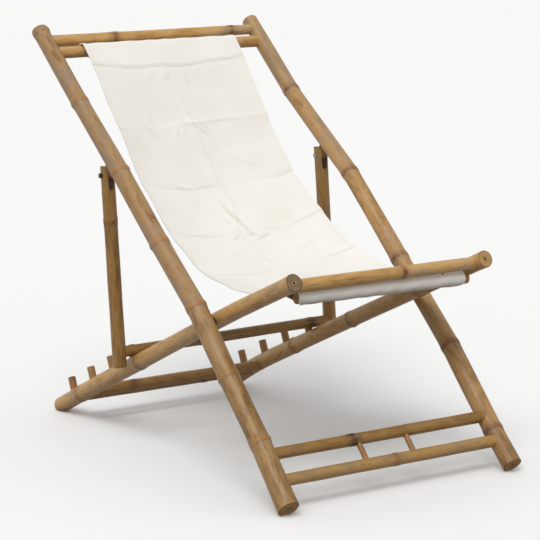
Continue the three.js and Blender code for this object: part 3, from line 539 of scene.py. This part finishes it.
cane("back_rail_left", "back_frame", (-BACK_X, *BACK_FOOT), back_along, back_up, 1334, (22.8, 18.4),
     [0.1105, 0.23, 0.360, 0.497, 0.655, 0.8205, 0.991], finish=TAN, seed=1, sides=44,
     bow=[(0, 0), (0.115, 0.56), (0.238, 0.82), (0.362, 1.17), (0.506, 0.84), (0.668, 0.66), (0.829, 0.25),
          (1, 0)], bow_height=34, flat_feet=True, paler=1.2)
cane("back_rail_right", "back_frame", (BACK_X, *BACK_FOOT), back_along, back_up, 1331, (21, 18),
     [0.065, 0.226, 0.411, 0.602, 0.82], finish=RUSSET_PAINTED_LIGHT, seed=2, sides=44,
     bow=[(0, 0), (0.065, 0.09), (0.226, 0.71), (0.418, 0.82), (0.602, 0.94), (0.7, 0.5), (0.82, 0.03),
          (1, 0)], bow_height=34, flat_feet=True, soot=0.25, paler=1.0)
cane("seat_rail_left", "seat_frame", (-SEAT_X, *SEAT_FRONT), seat_along, seat_up, 1092, (17.3, 18.9),
     [0.61, 0.89], finish=HONEY_PAINTED_LIGHT, seed=3, sides=40,
     bow=[(0, 0.9), (0.2, 2.2), (0.4, 2.35), (0.62, 2.05), (0.72, 2.05), (0.83, 1.9), (0.92, 1.4), (1, 0.9)],
     bow_height=4, flat_feet=True, flare=1.4, soot=0.3, ends=(WEATHERED, SAWN))
cane("seat_rail_right", "seat_frame", (SEAT_X, *SEAT_FRONT), seat_along, seat_up, 1073, (17.3, 18.5),
     [0.228, 0.482, 0.718], finish=HONEY_PAINTED_LIGHT, seed=4, sides=40,
     bow=[(0, 0.4), (0.2, 1.2), (0.4, 1.85), (0.6, 2.3), (0.72, 2.4), (0.83, 2.6), (0.9, 2.1), (1, 0.2)],
     bow_height=4, flat_feet=True, flare=0.8, soot=0.2)

PROP_PIVOT = (194.85, 596.58)
PROP_FOOT = (161.02, 175.55)
PROP_LENGTH = 442.4
FORK_WIDTH, FORK_DEPTH, FORK_TOP, FORK_REACH = 14, 33, 60, 40
# The right leg stands higher, on the bowed right seat pole
for label, side, share, raised in (("left", LEFT, 0.72, 0), ("right", RIGHT, 0.45, 8)):
    x = side * BACK_X
    foot = Vector((x, *PROP_FOOT)) + prop_along * raised
    cane("prop_leg_" + label, "prop_frame", foot, prop_along, prop_up, PROP_LENGTH - raised, (15.3, 15.3),
         [share], finish=BROWN, seed=5 + side, sides=36, knot_height=0.9,
         fork=fork_cutter(x, PROP_PIVOT, PROP_SLOPE))

HEAD_ROD, HEAD_ROD_RADIUS = (439.43, 845.47), 13.4
# Cross bars: node, body, half length, radius at the left and right end, place in the side view, rise of the
# left and right end, nodes, soot at the nodes, finish
BARS = [
    ("head_bar", "back_frame", 276, (14, 12), (470.82, 871.87), (-2.5, 0), [0.308, 0.875], 0.5, GOLD_PAINTED_LIGHT),
    ("head_sling_rod", "back_frame", 276, (HEAD_ROD_RADIUS,) * 2, HEAD_ROD, (0, 0), [], 0, HONEY_PAINTED_LIGHT),
    ("foot_bar_upper", "back_frame", 276, (12.4, 12.4), (-420.78, 103.43), (0, 0), [0.369], 1.0, BROWN),
    ("foot_bar_lower", "back_frame", 276, (12.8, 12.8), (-461.96, 59.39), (0, 0), [0.513], 0.2, AMBER),
    ("seat_front_bar", "seat_frame", 231.5, (14.1, 12.7), (-442.42, 439.97), (0, 0), [0.583], 0.2, GOLD_PAINTED_LIGHT),
    ("rear_bar_upper", "seat_frame", 231.5, (12.4, 12.4), (383.26, 71.88), (1, 1), [0.225], 0.4, BROWN),
    ("rear_bar_lower", "seat_frame", 231.5, (12.0, 12.0), (430.07, 51.14), (1, 1), [0.7], 0.4, BROWN),
    ("prop_bar", "prop_frame", 277, (12.0, 12.0), (163.42, 205.46), (3, 9), [0.375, 0.9], 1.0, BROWN),
]
# The front bar has one large bud that faces the front: its angle and size
LARGE_BUDS = {"seat_front_bar": (82, 2.5)}


def bar(node, body, left, right, radii, knots, finish, seed, **marks):
    """A pole across the chair from its left end to its right end."""
    run = Vector(right) - Vector(left)
    up = Vector((-run.z, 0, run.x)).normalized()
    cane(node, body, left, run.normalized(), up, run.length, radii, knots, finish, seed, 28, **marks)


for number, (node, body, half, radii, (y, z), rises, knots, soot, finish) in enumerate(BARS):
    bud_turn, bud_size = LARGE_BUDS.get(node, (None, 1.0))
    bar(node, body, (-half, y, z + rises[0]), (half, y, z + rises[1]), radii, knots, finish, 11 + number,
        knot_height=1.0, bud_turn=bud_turn, bud_size=bud_size, soot=soot)

# The rod in the front sleeve hangs a little lower at its right end
SEAT_ROD, SEAT_ROD_RADIUS = (-429.005, 410.506), 12.0
ROD_LEFT, ROD_RIGHT, ROD_TILT = -207.5, 216.3, 2.75
bar("seat_sling_rod", "seat_frame", (ROD_LEFT, SEAT_ROD[0], SEAT_ROD[1] + ROD_TILT),
    (ROD_RIGHT, SEAT_ROD[0], SEAT_ROD[1] - ROD_TILT), (SEAT_ROD_RADIUS,) * 2, [], BROWN, 24)

# Dowels: pegs, rod pins and spindles, cut from thin canes
PEG_ROOTS = [(454.99, 42.21), (359.86, 84.24), (264.73, 126.27), (169.6, 168.3)]
PEG_LENGTH, PEG_RADIUS = 51, 8.8
# The right pegs stand higher, on the bowed right seat pole
PEG_LIFTS = {LEFT: Vector((0, 0, 0)), RIGHT: seat_up * 4 + seat_along * 5}
PIN_X, PIN_ROOT, PIN_LENGTH, PIN_RADIUS = 150.5, (-431.49, 415.97), 18.97, 3
PIN_ALONG, PIN_UP = Vector((0, -0.4144, 0.9101)), Vector((0, -0.9101, -0.4144))
for label, side in (("left", LEFT), ("right", RIGHT)):
    for number, root in enumerate(PEG_ROOTS, 1):
        start = Vector((side * SEAT_X, *root)) + PEG_LIFTS[side]
        cane(f"peg_{label}_{number}", "seat_frame", start, seat_up, -seat_along, PEG_LENGTH,
             (PEG_RADIUS,) * 2, [], DOWEL, 30 + number * 2 + side, 24)
    cane("rod_pin_" + label, "seat_frame", (side * PIN_X, *PIN_ROOT), PIN_ALONG, PIN_UP, PIN_LENGTH,
         (PIN_RADIUS,) * 2, [], GOLD_PAINTED_LIGHT, 41 + side, 14)
SPINDLE_ALONG, SPINDLE_UP = Vector((0, 0.6831, 0.7304)), Vector((0, -0.7304, 0.6831))
SPINDLE_X = {"left": -57, "right": 61}
SPINDLE_MIDDLE, SPINDLE_LENGTH, SPINDLE_RADIUS = (-441.23, 81.56), 47.1, 6
for label, x in SPINDLE_X.items():
    start = Vector((x, *SPINDLE_MIDDLE)) - SPINDLE_ALONG * SPINDLE_LENGTH / 2
    cane("foot_spindle_" + label, "back_frame", start, SPINDLE_ALONG, SPINDLE_UP, SPINDLE_LENGTH,
         (SPINDLE_RADIUS,) * 2, [], DOWEL, 50 + len(label), 20)


# CAD pieces that keep their shape and get a worked finish

# Finish and width of the worn edges of each
DRESSED = {"prop_tongue": (PLANED, 0.8), "prop_bolt": (BRIGHT, 0.3), "prop_nut": (DARK, 0.4),
           "pivot_pin": (BRIGHT, 0.3), "pivot_spacer": (DARK, 0.4)}
for name, (finish, worn) in DRESSED.items():
    for label in ("left", "right"):
        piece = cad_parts[f"{name}_{label}"]
        piece.data.materials.clear()
        piece.data.materials.append(finish)
        rounding = piece.modifiers.new("worn_edges", "BEVEL")
        rounding.width = worn * MM
        rounding.segments = 2
        rounding.limit_method = "ANGLE"
        rounding.angle_limit = math.radians(35)


# Canvas sling

CANVAS_HALF = 208.0
# Depth of the sag below the line between the rods, and of the cup across the cloth
SAG = 168.0
CUP = 22.0
# The cloth turned back behind each rod, and how much narrower its end is cut on each side, at both rods
HEM = 60.0
HEM_INSETS = (40.0, 16.0)
SEAM_DROOP = 15.0
# Room between the rods and their sleeves, all round and towards the sling
SLEEVE_EASE = 1.3
HEAD_SLACK, SEAT_SLACK = 4.5, 1.5
# Half of the cloth's thickness, and what the side hems add to it
HALF_CLOTH, HALF_HEM = 0.55, 0.35
HEM_WIDTH = 11
COLUMNS = 104
# Steps of each straight run between a rod and the sling or a hem
RUN_STEPS = 8
# Depth of the sag as a share of its greatest, by share of the way from the head to the front
SAG_TABLE = [(0.068, 0), (0.15, 0.22), (0.227, 0.42), (0.3, 0.615), (0.375, 0.79), (0.501, 0.96),
             (0.57, 0.995), (0.643, 0.985), (0.746, 0.83), (0.822, 0.65), (0.908, 0.33)]
# Side edges as shares of the half width, by share of the way from the head to the front
LEFT_EDGE = [(0, 0.995), (0.15, 1), (0.25, 0.988), (0.4, 0.978), (0.55, 0.971), (0.7, 0.981), (0.85, 0.995),
             (1, 1.004)]
RIGHT_EDGE = [(0, 0.942), (0.1, 0.913), (0.2, 0.897), (0.3, 0.904), (0.4, 0.928), (0.5, 0.962), (0.6, 0.995),
              (0.7, 1.005), (0.85, 0.99), (1, 0.974)]
span = np.subtract(SEAT_ROD, HEAD_ROD)
SLING = float(np.hypot(*span))
sling_along = span / SLING
sling_down = np.array([-sling_along[1], sling_along[0]])
head_wrap = HEAD_ROD_RADIUS + SLEEVE_EASE + HEAD_SLACK
seat_wrap = SEAT_ROD_RADIUS + SLEEVE_EASE + SEAT_SLACK


def catmull_rom(points, count):
    """Points along a uniform Catmull-Rom curve, with its ends repeated."""
    p = np.array([points[0], *points, points[-1]], float)
    out = []
    for i in range(1, len(p) - 2):
        v0, v1 = (p[i + 1] - p[i - 1]) / 2, (p[i + 2] - p[i]) / 2
        for s in np.linspace(0, 1, count, endpoint=False):
            out.append((2 * p[i] - 2 * p[i + 1] + v0 + v1) * s ** 3
                       + (-3 * p[i] + 3 * p[i + 1] - 2 * v0 - v1) * s ** 2 + v0 * s + p[i])
    out.append(p[-2])
    return np.array(out)


sag_line = catmull_rom([(HEAD_SLACK, -head_wrap), *[(s * SLING, d * SAG) for s, d in SAG_TABLE],
                        (SLING, -seat_wrap)], 30)


def depth_at(along):
    """Distance of the cloth from the line between the rods, at a place along it."""
    return np.interp(along, sag_line[:, 0], sag_line[:, 1])


def tangent_turn(rod_at, radius, point, side):
    """Angle at which the cloth from a point first touches the circle round a rod."""
    along, down = point
    return math.atan2(down, along - rod_at) + side * math.acos(radius / math.hypot(along - rod_at, down))


def wrap(rod_at, radius, from_turn, to_turn):
    """Points of the sleeve round a rod, between two angles."""
    turns = np.linspace(from_turn, to_turn, 26)
    return [(rod_at + radius * math.cos(a), radius * math.sin(a)) for a in turns]


def straight(a, b):
    """Points between a and b, without either."""
    return [tuple(np.array(a) + (np.array(b) - np.array(a)) * i / RUN_STEPS) for i in range(1, RUN_STEPS)]


def sling_rows():
    """Middle line of the cloth in the side view, hem to hem, with the range of rows of its single run."""
    # The hems lie this far behind the cloth, and the sag's rows start and end this far from the rods
    behind, clear, row_gap = 1.9, SLING / 22, 3.2
    places = np.linspace(clear, SLING - clear, int((SLING - 2 * clear) / row_gap))
    main = [(along, depth_at(along)) for along in places]
    head_hem = (HEM, depth_at(HEM) + behind)
    seat_hem = (SLING - HEM, depth_at(SLING - HEM) + behind)
    head = wrap(HEAD_SLACK, head_wrap, tangent_turn(HEAD_SLACK, head_wrap, head_hem, 1),
                tangent_turn(HEAD_SLACK, head_wrap, main[0], -1) + 2 * math.pi)
    seat_turn_at = SLING - SEAT_SLACK
    seat = wrap(seat_turn_at, seat_wrap, tangent_turn(seat_turn_at, seat_wrap, main[-1], 1) - 2 * math.pi,
                tangent_turn(seat_turn_at, seat_wrap, seat_hem, -1))
    rows = [head_hem, *straight(head_hem, head[0]), *head, *straight(head[-1], main[0]), *main,
            *straight(main[-1], seat[0]), *seat, *straight(seat[-1], seat_hem), seat_hem]
    first = RUN_STEPS + len(head)
    return np.array(rows), first, first + len(main) + 2 * (RUN_STEPS - 1)


# Folds from its storage: points (across, share of the way), height and width
FOLDS = [
    ([(-1, 0.229), (-0.74, 0.231), (-0.4, 0.230), (-0.18, 0.223), (0.45, 0.220), (1, 0.219)], 2.6, 9),
    ([(-1, 0.366), (-0.92, 0.370), (-0.44, 0.379), (-0.03, 0.372), (0.82, 0.372), (1, 0.366)], -3.2, 10),
    ([(-1, 0.502), (-0.94, 0.508), (-0.75, 0.519), (-0.34, 0.523), (-0.18, 0.515), (0.09, 0.500),
      (0.22, 0.508), (0.44, 0.516), (0.6, 0.512), (1, 0.496)], 3.4, 9),
    ([(-1, 0.650), (-0.92, 0.665), (-0.65, 0.673), (-0.38, 0.669), (-0.11, 0.655), (0.06, 0.642),
      (0.64, 0.641), (1, 0.636)], -3.0, 11),
    ([(-1, 0.825), (-0.3, 0.835), (0.4, 0.83), (1, 0.825)], 1.6, 11),
]
# The fold down the middle, as (share of the way, across)
MIDDLE_FOLD = [(0.10, -0.05), (0.25, 0.02), (0.36, 0.03), (0.43, 0.05), (0.52, -0.1), (0.55, -0.06),
               (0.6, -0.03), (0.66, -0.03)]
# Pulled wrinkles: start and end as (across, share of the way), height, width
WRINKLES = [
    ((-0.10, 0.408), (-0.03, 0.485), 2.6, 4.5), ((-0.06, 0.45), (0.05, 0.524), 3.4, 5),
    ((-0.03, 0.517), (0.15, 0.525), 2.4, 4), ((0.02, 0.541), (0.28, 0.522), 2.4, 4),
    ((-0.19, 0.459), (-0.11, 0.493), 2.0, 4), ((-0.25, 0.533), (-0.12, 0.519), 1.8, 4),
    ((-0.01, 0.216), (0.16, 0.25), 1.9, 5), ((0.07, 0.215), (0.17, 0.236), 1.4, 5),
    ((-0.29, 0.246), (-0.2, 0.232), 0.9, 5), ((-0.19, 0.25), (-0.12, 0.232), 0.9, 5),
    ((-0.2, 0.165), (0.05, 0.2), 0.8, 9), ((-0.51, 0.19), (-0.6, 0.225), 1.0, 6),
    ((-0.84, 0.216), (-0.78, 0.27), 0.8, 12), ((-0.79, 0.26), (-0.66, 0.33), 0.8, 12),
    ((-0.62, 0.36), (-0.3, 0.385), 1.5, 7), ((-0.7, 0.2), (-0.5, 0.26), 1.2, 7),
    ((-0.08, 0.088), (-0.16, 0.115), 1.2, 5), ((0.1, 0.09), (0.15, 0.125), 1.1, 5),
    ((-0.3, 0.086), (-0.35, 0.112), 1.1, 5), ((0.3, 0.086), (0.27, 0.11), 0.8, 5),
    ((0.3, 0.30), (0.62, 0.34), 1.0, 10), ((-0.4, 0.58), (0.0, 0.62), 1.1, 9),
    ((0.4, 0.6), (0.7, 0.57), 1.0, 8),
]


def seam_at(u):
    """Distance of the seam under the head rod along the sling, at a place across it."""
    return HEM + SEAM_DROOP * (1 - np.abs(u + 0.04) ** 2.2) + 1.6 * np.sin(u * 9)


def relief(u, share):
    """Height of the folds, wrinkles and slack of the cloth, towards the sitter, and the painted shade along
    them and the seam, at places u across it and shares of the way along it."""
    fade = np.clip(np.minimum(share - 0.055, 0.955 - share) / 0.04, 0, 1)
    lift = np.zeros_like(share)
    # Painted shade along the folds, on one side of each wrinkle and along the seam, which darkens the
    # cloth's colour
    crease_shade = np.zeros_like(share)
    for points, height, width in FOLDS:
        xs, ys = zip(*points)
        gap = (share - np.interp(u, xs, ys)) * SLING
        lift += height * (0.75 + 0.25 * np.sin(u * 5 + height)) * np.exp(-np.abs(gap) / width)
        broken = np.clip(0.5 + 0.6 * np.sin(u * 4.3 + height * 5) + 0.35 * np.sin(u * 13 + height), 0.1, 1)
        crease_shade += 0.36 * broken * np.exp(-(gap / 2.4) ** 2)
    xs, ys = zip(*MIDDLE_FOLD)
    gap = (u - np.interp(share, xs, ys)) * CANVAS_HALF
    ends = np.clip(np.minimum(share - 0.1, 0.66 - share) / 0.05, 0, 1)
    lift += 1.5 * ends * np.exp(-np.abs(gap) / 7)
    crease_shade += 0.1 * ends * np.exp(-(gap / 2.6) ** 2)
    for (u0, s0), (u1, s1), height, width in WRINKLES:
        a, b = np.array([u0 * CANVAS_HALF, s0 * SLING]), np.array([u1 * CANVAS_HALF, s1 * SLING])
        along = b - a
        p = np.stack([u * CANVAS_HALF, share * SLING], -1) - a
        s = np.clip((p @ along) / (along @ along), 0, 1)
        away = p - s[..., None] * along
        thin = np.sin(math.pi * np.clip(s, 0.02, 0.98)) ** 0.6
        lift += 1.6 * height * thin * np.exp(-((away ** 2).sum(-1)) / width ** 2)
        # The painted shade of a wrinkle lies 3.4 mm to one side of its ridge
        low = away - np.array([-along[1], along[0]]) / np.linalg.norm(along) * 3.4
        crease_shade += 0.16 * height * thin * np.exp(-((low ** 2).sum(-1)) / 2.4 ** 2)
    gap = share * SLING - seam_at(u)
    # The seam pulls the cloth in, the sides curl up, and loose cloth ripples between the folds
    lift -= 2.0 * np.exp(-np.clip(gap, 0, None) / 9) * (gap > -1.5)
    # Painted shade along the seam
    crease_shade += (0.34 + 0.1 * np.sin(u * 11)) * np.exp(-((gap - 1) / 2.4) ** 2)
    slack = 1.5 * np.sin(u * 2.3 + share * 9) * np.sin(share * 23 + u * 1.7 + 0.6)
    slack += 0.6 * np.sin(u * 6.1 + share * 31 + 1) * np.cos(share * 47 - u * 4.3)
    curl = 3.2 * np.clip((np.abs(u) - 0.68) / 0.32, 0, 1) ** 1.6
    ripple = 1.2 * np.clip((np.abs(u) - 0.75) / 0.25, 0, 1) * np.sin(share * 38 + u * 2)
    return (lift + slack + ripple) * fade + curl * np.clip((share - 0.03) / 0.1, 0, 1) * fade, crease_shade


def two_faced(rows):
    """Faces of a closed cloth of two layers of points, in rows of COLUMNS points."""
    count = rows * COLUMNS
    faces = []
    for a in range(0, count - COLUMNS, COLUMNS):
        for j in range(a, a + COLUMNS - 1):
            faces.append((j, j + COLUMNS, j + COLUMNS + 1, j + 1))
            faces.append((count + j, count + j + 1, count + j + COLUMNS + 1, count + j + COLUMNS))
        b = a + COLUMNS - 1
        faces.append((a, count + a, count + a + COLUMNS, a + COLUMNS))
        faces.append((b, b + COLUMNS, count + b + COLUMNS, count + b))
    for j in range(COLUMNS - 1):
        b = count - COLUMNS + j
        faces.append((j, j + 1, count + j + 1, count + j))
        faces.append((b, count + b, count + b + 1, b + 1))
    return faces


def make_canvas():
    """The sling with its sleeves and hems, and the layers of points that its stitches lie on."""
    rows, first, last = sling_rows()
    along, down = rows.T
    tangent = np.gradient(rows, axis=0)
    tangent /= np.linalg.norm(tangent, axis=1)[:, None]
    normal = np.stack([-tangent[:, 1], tangent[:, 0]], 1)
    run = run_along(rows)
    order = np.arange(len(rows))
    is_main = (order >= first) & (order < last)
    is_flap = (order < RUN_STEPS) | (order >= len(rows) - RUN_STEPS)
    share = np.clip(along / SLING, 0, 1)
    left = -CANVAS_HALF * np.interp(share, *zip(*LEFT_EDGE))
    right = CANVAS_HALF * np.interp(share, *zip(*RIGHT_EDGE))
    across, way = np.meshgrid(np.linspace(-1, 1, COLUMNS), share)
    # The lift stands towards the sitter, against the cup; the hems behind follow the cup only
    lift, crease_shade = relief(across, way)
    # Painted shade only on the single run of the sling
    crease_shade = np.clip(crease_shade, 0, 1) * is_main[:, None]
    cup_share = np.where(is_main | is_flap, np.sin(math.pi * share) ** 1.5, 0.0)
    away = CUP * cup_share[:, None] * (1 - across ** 2) - lift * is_main[:, None]
    away *= np.where(is_flap[:, None], -1, 1)
    # Small rucks where the sleeves turn round their rods
    turned = np.convolve(~(is_main | is_flap), np.ones(7) / 7, "same")[:, None]
    away -= 0.5 * turned * (1 + np.sin(across * 23 + 0.11 * run[:, None] + 1.7 * np.sin(across * 6)))
    x = left[:, None] + (right - left)[:, None] * (across + 1) / 2
    from_edge = np.minimum(x - left[:, None], right[:, None] - x)
    hem_band = np.clip((HEM_WIDTH - from_edge) / 1.5, 0, 1)
    # The hems behind the sleeves are cut narrower than the cloth in front of them
    tuck = HEM_INSETS[0] * np.clip(1 - (order - RUN_STEPS + 1) / 13, 0, 1) ** 0.8
    tuck += HEM_INSETS[1] * np.clip(1 - (len(rows) - RUN_STEPS - order) / 9, 0, 1)
    x = x * (1 - tuck[:, None] / (right - left)[:, None] * 2)
    # The front end hangs with the tilt of its rod
    tilt = -ROD_TILT * 2 * (x - (ROD_LEFT + ROD_RIGHT) / 2) / (ROD_RIGHT - ROD_LEFT)
    tilt *= np.clip((way - 0.8) / 0.2, 0, 1)
    layers = []
    for side in (-1, 1):
        offset = away + side * (HALF_CLOTH + HALF_HEM * hem_band)
        yz = HEAD_ROD + (along[:, None] + normal[:, 0:1] * offset)[..., None] * sling_along
        yz += (down[:, None] + normal[:, 1:2] * offset)[..., None] * sling_down
        yz[..., 1] += tilt
        layers.append(np.concatenate([x[..., None], yz], -1))
    cloth = new_piece("canvas_cloth", np.concatenate(layers).reshape(-1, 3), two_faced(len(rows)), [CANVAS],
                      turn_out=True)
    flat = np.stack([x, np.repeat(run[:, None], COLUMNS, 1), np.zeros_like(across)], -1).reshape(-1, 3)
    store(cloth, "cloth", np.concatenate([flat, flat]) * MM)
    # Painted shade along the folds, wrinkles and seam, for the material
    store(cloth, "fold", np.concatenate([crease_shade, crease_shade]).ravel())
    smooth(cloth.data, 60)
    return cloth, {"layers": layers, "run": run, "width": right - left, "main": slice(first, last),
                   "along": along}


def read_at(place, run, points):
    """The point, or the vector, at a place along a line."""
    return np.array([np.interp(place, run, points[:, k]) for k in range(3)])


STITCH_GAP, STITCH_LENGTH = 4.2, 3.0
# Half the width and height of a stitch
STITCH_WIDTH, STITCH_HEIGHT = 0.55, 0.4
# Height of its middle over the cloth
STITCH_LIFT = 0.15
# Distance of the side stitches from the edge, and between the two rows of each seam
SIDE_SEAM, SEAM_GAP = 8, 5


def stitches(grid):
    """Lines of stitches along the hems and the sleeves, on both faces of the cloth and a little above it."""
    vertices, faces = [], []

    def bead(a, b, out):
        along = b - a
        across = np.cross(along, out)
        across /= np.linalg.norm(across)
        base = len(vertices)
        for place, width in ((0.0, 0.25), (0.25, 1.0), (0.75, 1.0), (1.0, 0.25)):
            for k in range(5):
                turn = 2 * math.pi * k / 5
                ring = across * math.cos(turn) * STITCH_WIDTH + out * math.sin(turn) * STITCH_HEIGHT
                vertices.append(a + along * place + ring * width)
        for r in range(base, base + 15, 5):
            for k in range(5):
                j = (k + 1) % 5
                faces.append((r + k, r + j, r + 5 + j, r + 5 + k))
        faces.append(tuple(base + k for k in range(4, -1, -1)))
        faces.append(tuple(base + 15 + k for k in range(5)))

    def line(points, out):
        run = run_along(points)
        place = STITCH_GAP
        while place + STITCH_LENGTH < run[-1]:
            face = read_at(place, run, out)
            face /= np.linalg.norm(face)
            ends = (place, place + STITCH_LENGTH)
            bead(*(read_at(at, run, points) + face * STITCH_LIFT for at in ends), face)
            place += STITCH_GAP

    main = grid["main"]
    seam = seam_at(np.linspace(-1, 1, COLUMNS))
    for layer, other in (grid["layers"], grid["layers"][::-1]):
        out = layer - other
        out /= np.linalg.norm(out, axis=2)[..., None]
        for edge, inner in ((0, 1), (COLUMNS - 1, COLUMNS - 2)):
            share = SIDE_SEAM / np.abs(layer[:, inner, 0] - layer[:, edge, 0])
            line(layer[:, edge] + (layer[:, inner] - layer[:, edge]) * share[:, None], out[:, edge])
        for gap in (0, SEAM_GAP):
            for places in (seam - gap, np.full(COLUMNS, SLING - HEM + gap)):
                line(*(np.array([read_at(place, grid["along"][main], table[main, j])
                                 for j, place in enumerate(places)]) for table in (layer, out)))
    return new_piece("canvas_stitching", vertices, faces, [THREAD], turn_out=True)


cloth, grid = make_canvas()
thread = stitches(grid)
for piece in (cloth, thread):
    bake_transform(piece)
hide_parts("canvas_sling")


# Stage, lights and camera

FLOOR_HALF = 45000


def make_stage():
    """A floor of paper, and a sky that is warmer and darker from below."""
    corners = [(x * FLOOR_HALF, y * FLOOR_HALF, 0) for x, y in ((-1, -1), (1, -1), (1, 1), (-1, 1))]
    floor = new_piece("floor", corners, [(0, 1, 2, 3)], [FLOOR])
    # The paper throws little light back up, as under a photographer's black flags
    floor.visible_diffuse = False
    world = bpy.data.worlds.new("studio")
    world.use_nodes = True
    tree = world.node_tree
    way = add(tree, "SeparateXYZ", {0: add(tree, "TexCoord").outputs["Generated"]})
    share = add(tree, "MapRange", {"Value": way.outputs["Z"], "From Min": -1.0})
    sky = add(tree, "ValToRGB", {0: share}, stops=[(0.28, "#5E4C3A"), (0.52, "#FFFFFF")])
    connect(tree, tree.nodes["Background"], {"Color": sky, "Strength": 0.65})
    bpy.context.scene.world = world


def skylight(name, direction, spread, strength):
    """A broad soft light from far off, so that the floor is lit evenly."""
    light = bpy.data.lights.new(name, "SUN")
    light.angle = math.radians(spread)
    light.energy = strength
    lamp = bpy.data.objects.new(name, light)
    lamp.rotation_mode = "QUATERNION"
    lamp.rotation_quaternion = (-Vector(direction)).to_track_quat("-Z", "Y")
    bpy.context.scene.collection.objects.link(lamp)


def photo_camera():
    """The camera at the photograph's place, with its turn, tilt, roll and lens."""
    azimuth, elevation, roll = (math.radians(a) for a in (CAMERA_AZIMUTH, CAMERA_ELEVATION, CAMERA_ROLL))
    back = Vector((math.sin(azimuth) * math.cos(elevation), -math.cos(azimuth) * math.cos(elevation),
                   math.sin(elevation)))
    level = Vector((math.cos(azimuth), math.sin(azimuth), 0))
    upright = back.cross(level)
    right = level * math.cos(roll) + upright * math.sin(roll)
    up = upright * math.cos(roll) - level * math.sin(roll)
    camera = bpy.data.cameras.new("photo_camera")
    camera.sensor_width = SENSOR_WIDTH
    camera.lens = FOCAL_PIXELS / IMAGE_PIXELS * SENSOR_WIDTH
    camera.clip_end = 120
    holder = bpy.data.objects.new("photo_camera", camera)
    holder.matrix_world = Matrix.Translation(CAMERA_AT) @ Matrix((right, up, back)).transposed().to_4x4()
    bpy.context.scene.collection.objects.link(holder)
    bpy.context.scene.camera = holder


make_stage()
skylight("key", (-2.2, -1.9, 4.0), 34, 1.35)
photo_camera()
bpy.context.scene.view_settings.view_transform = "Standard"
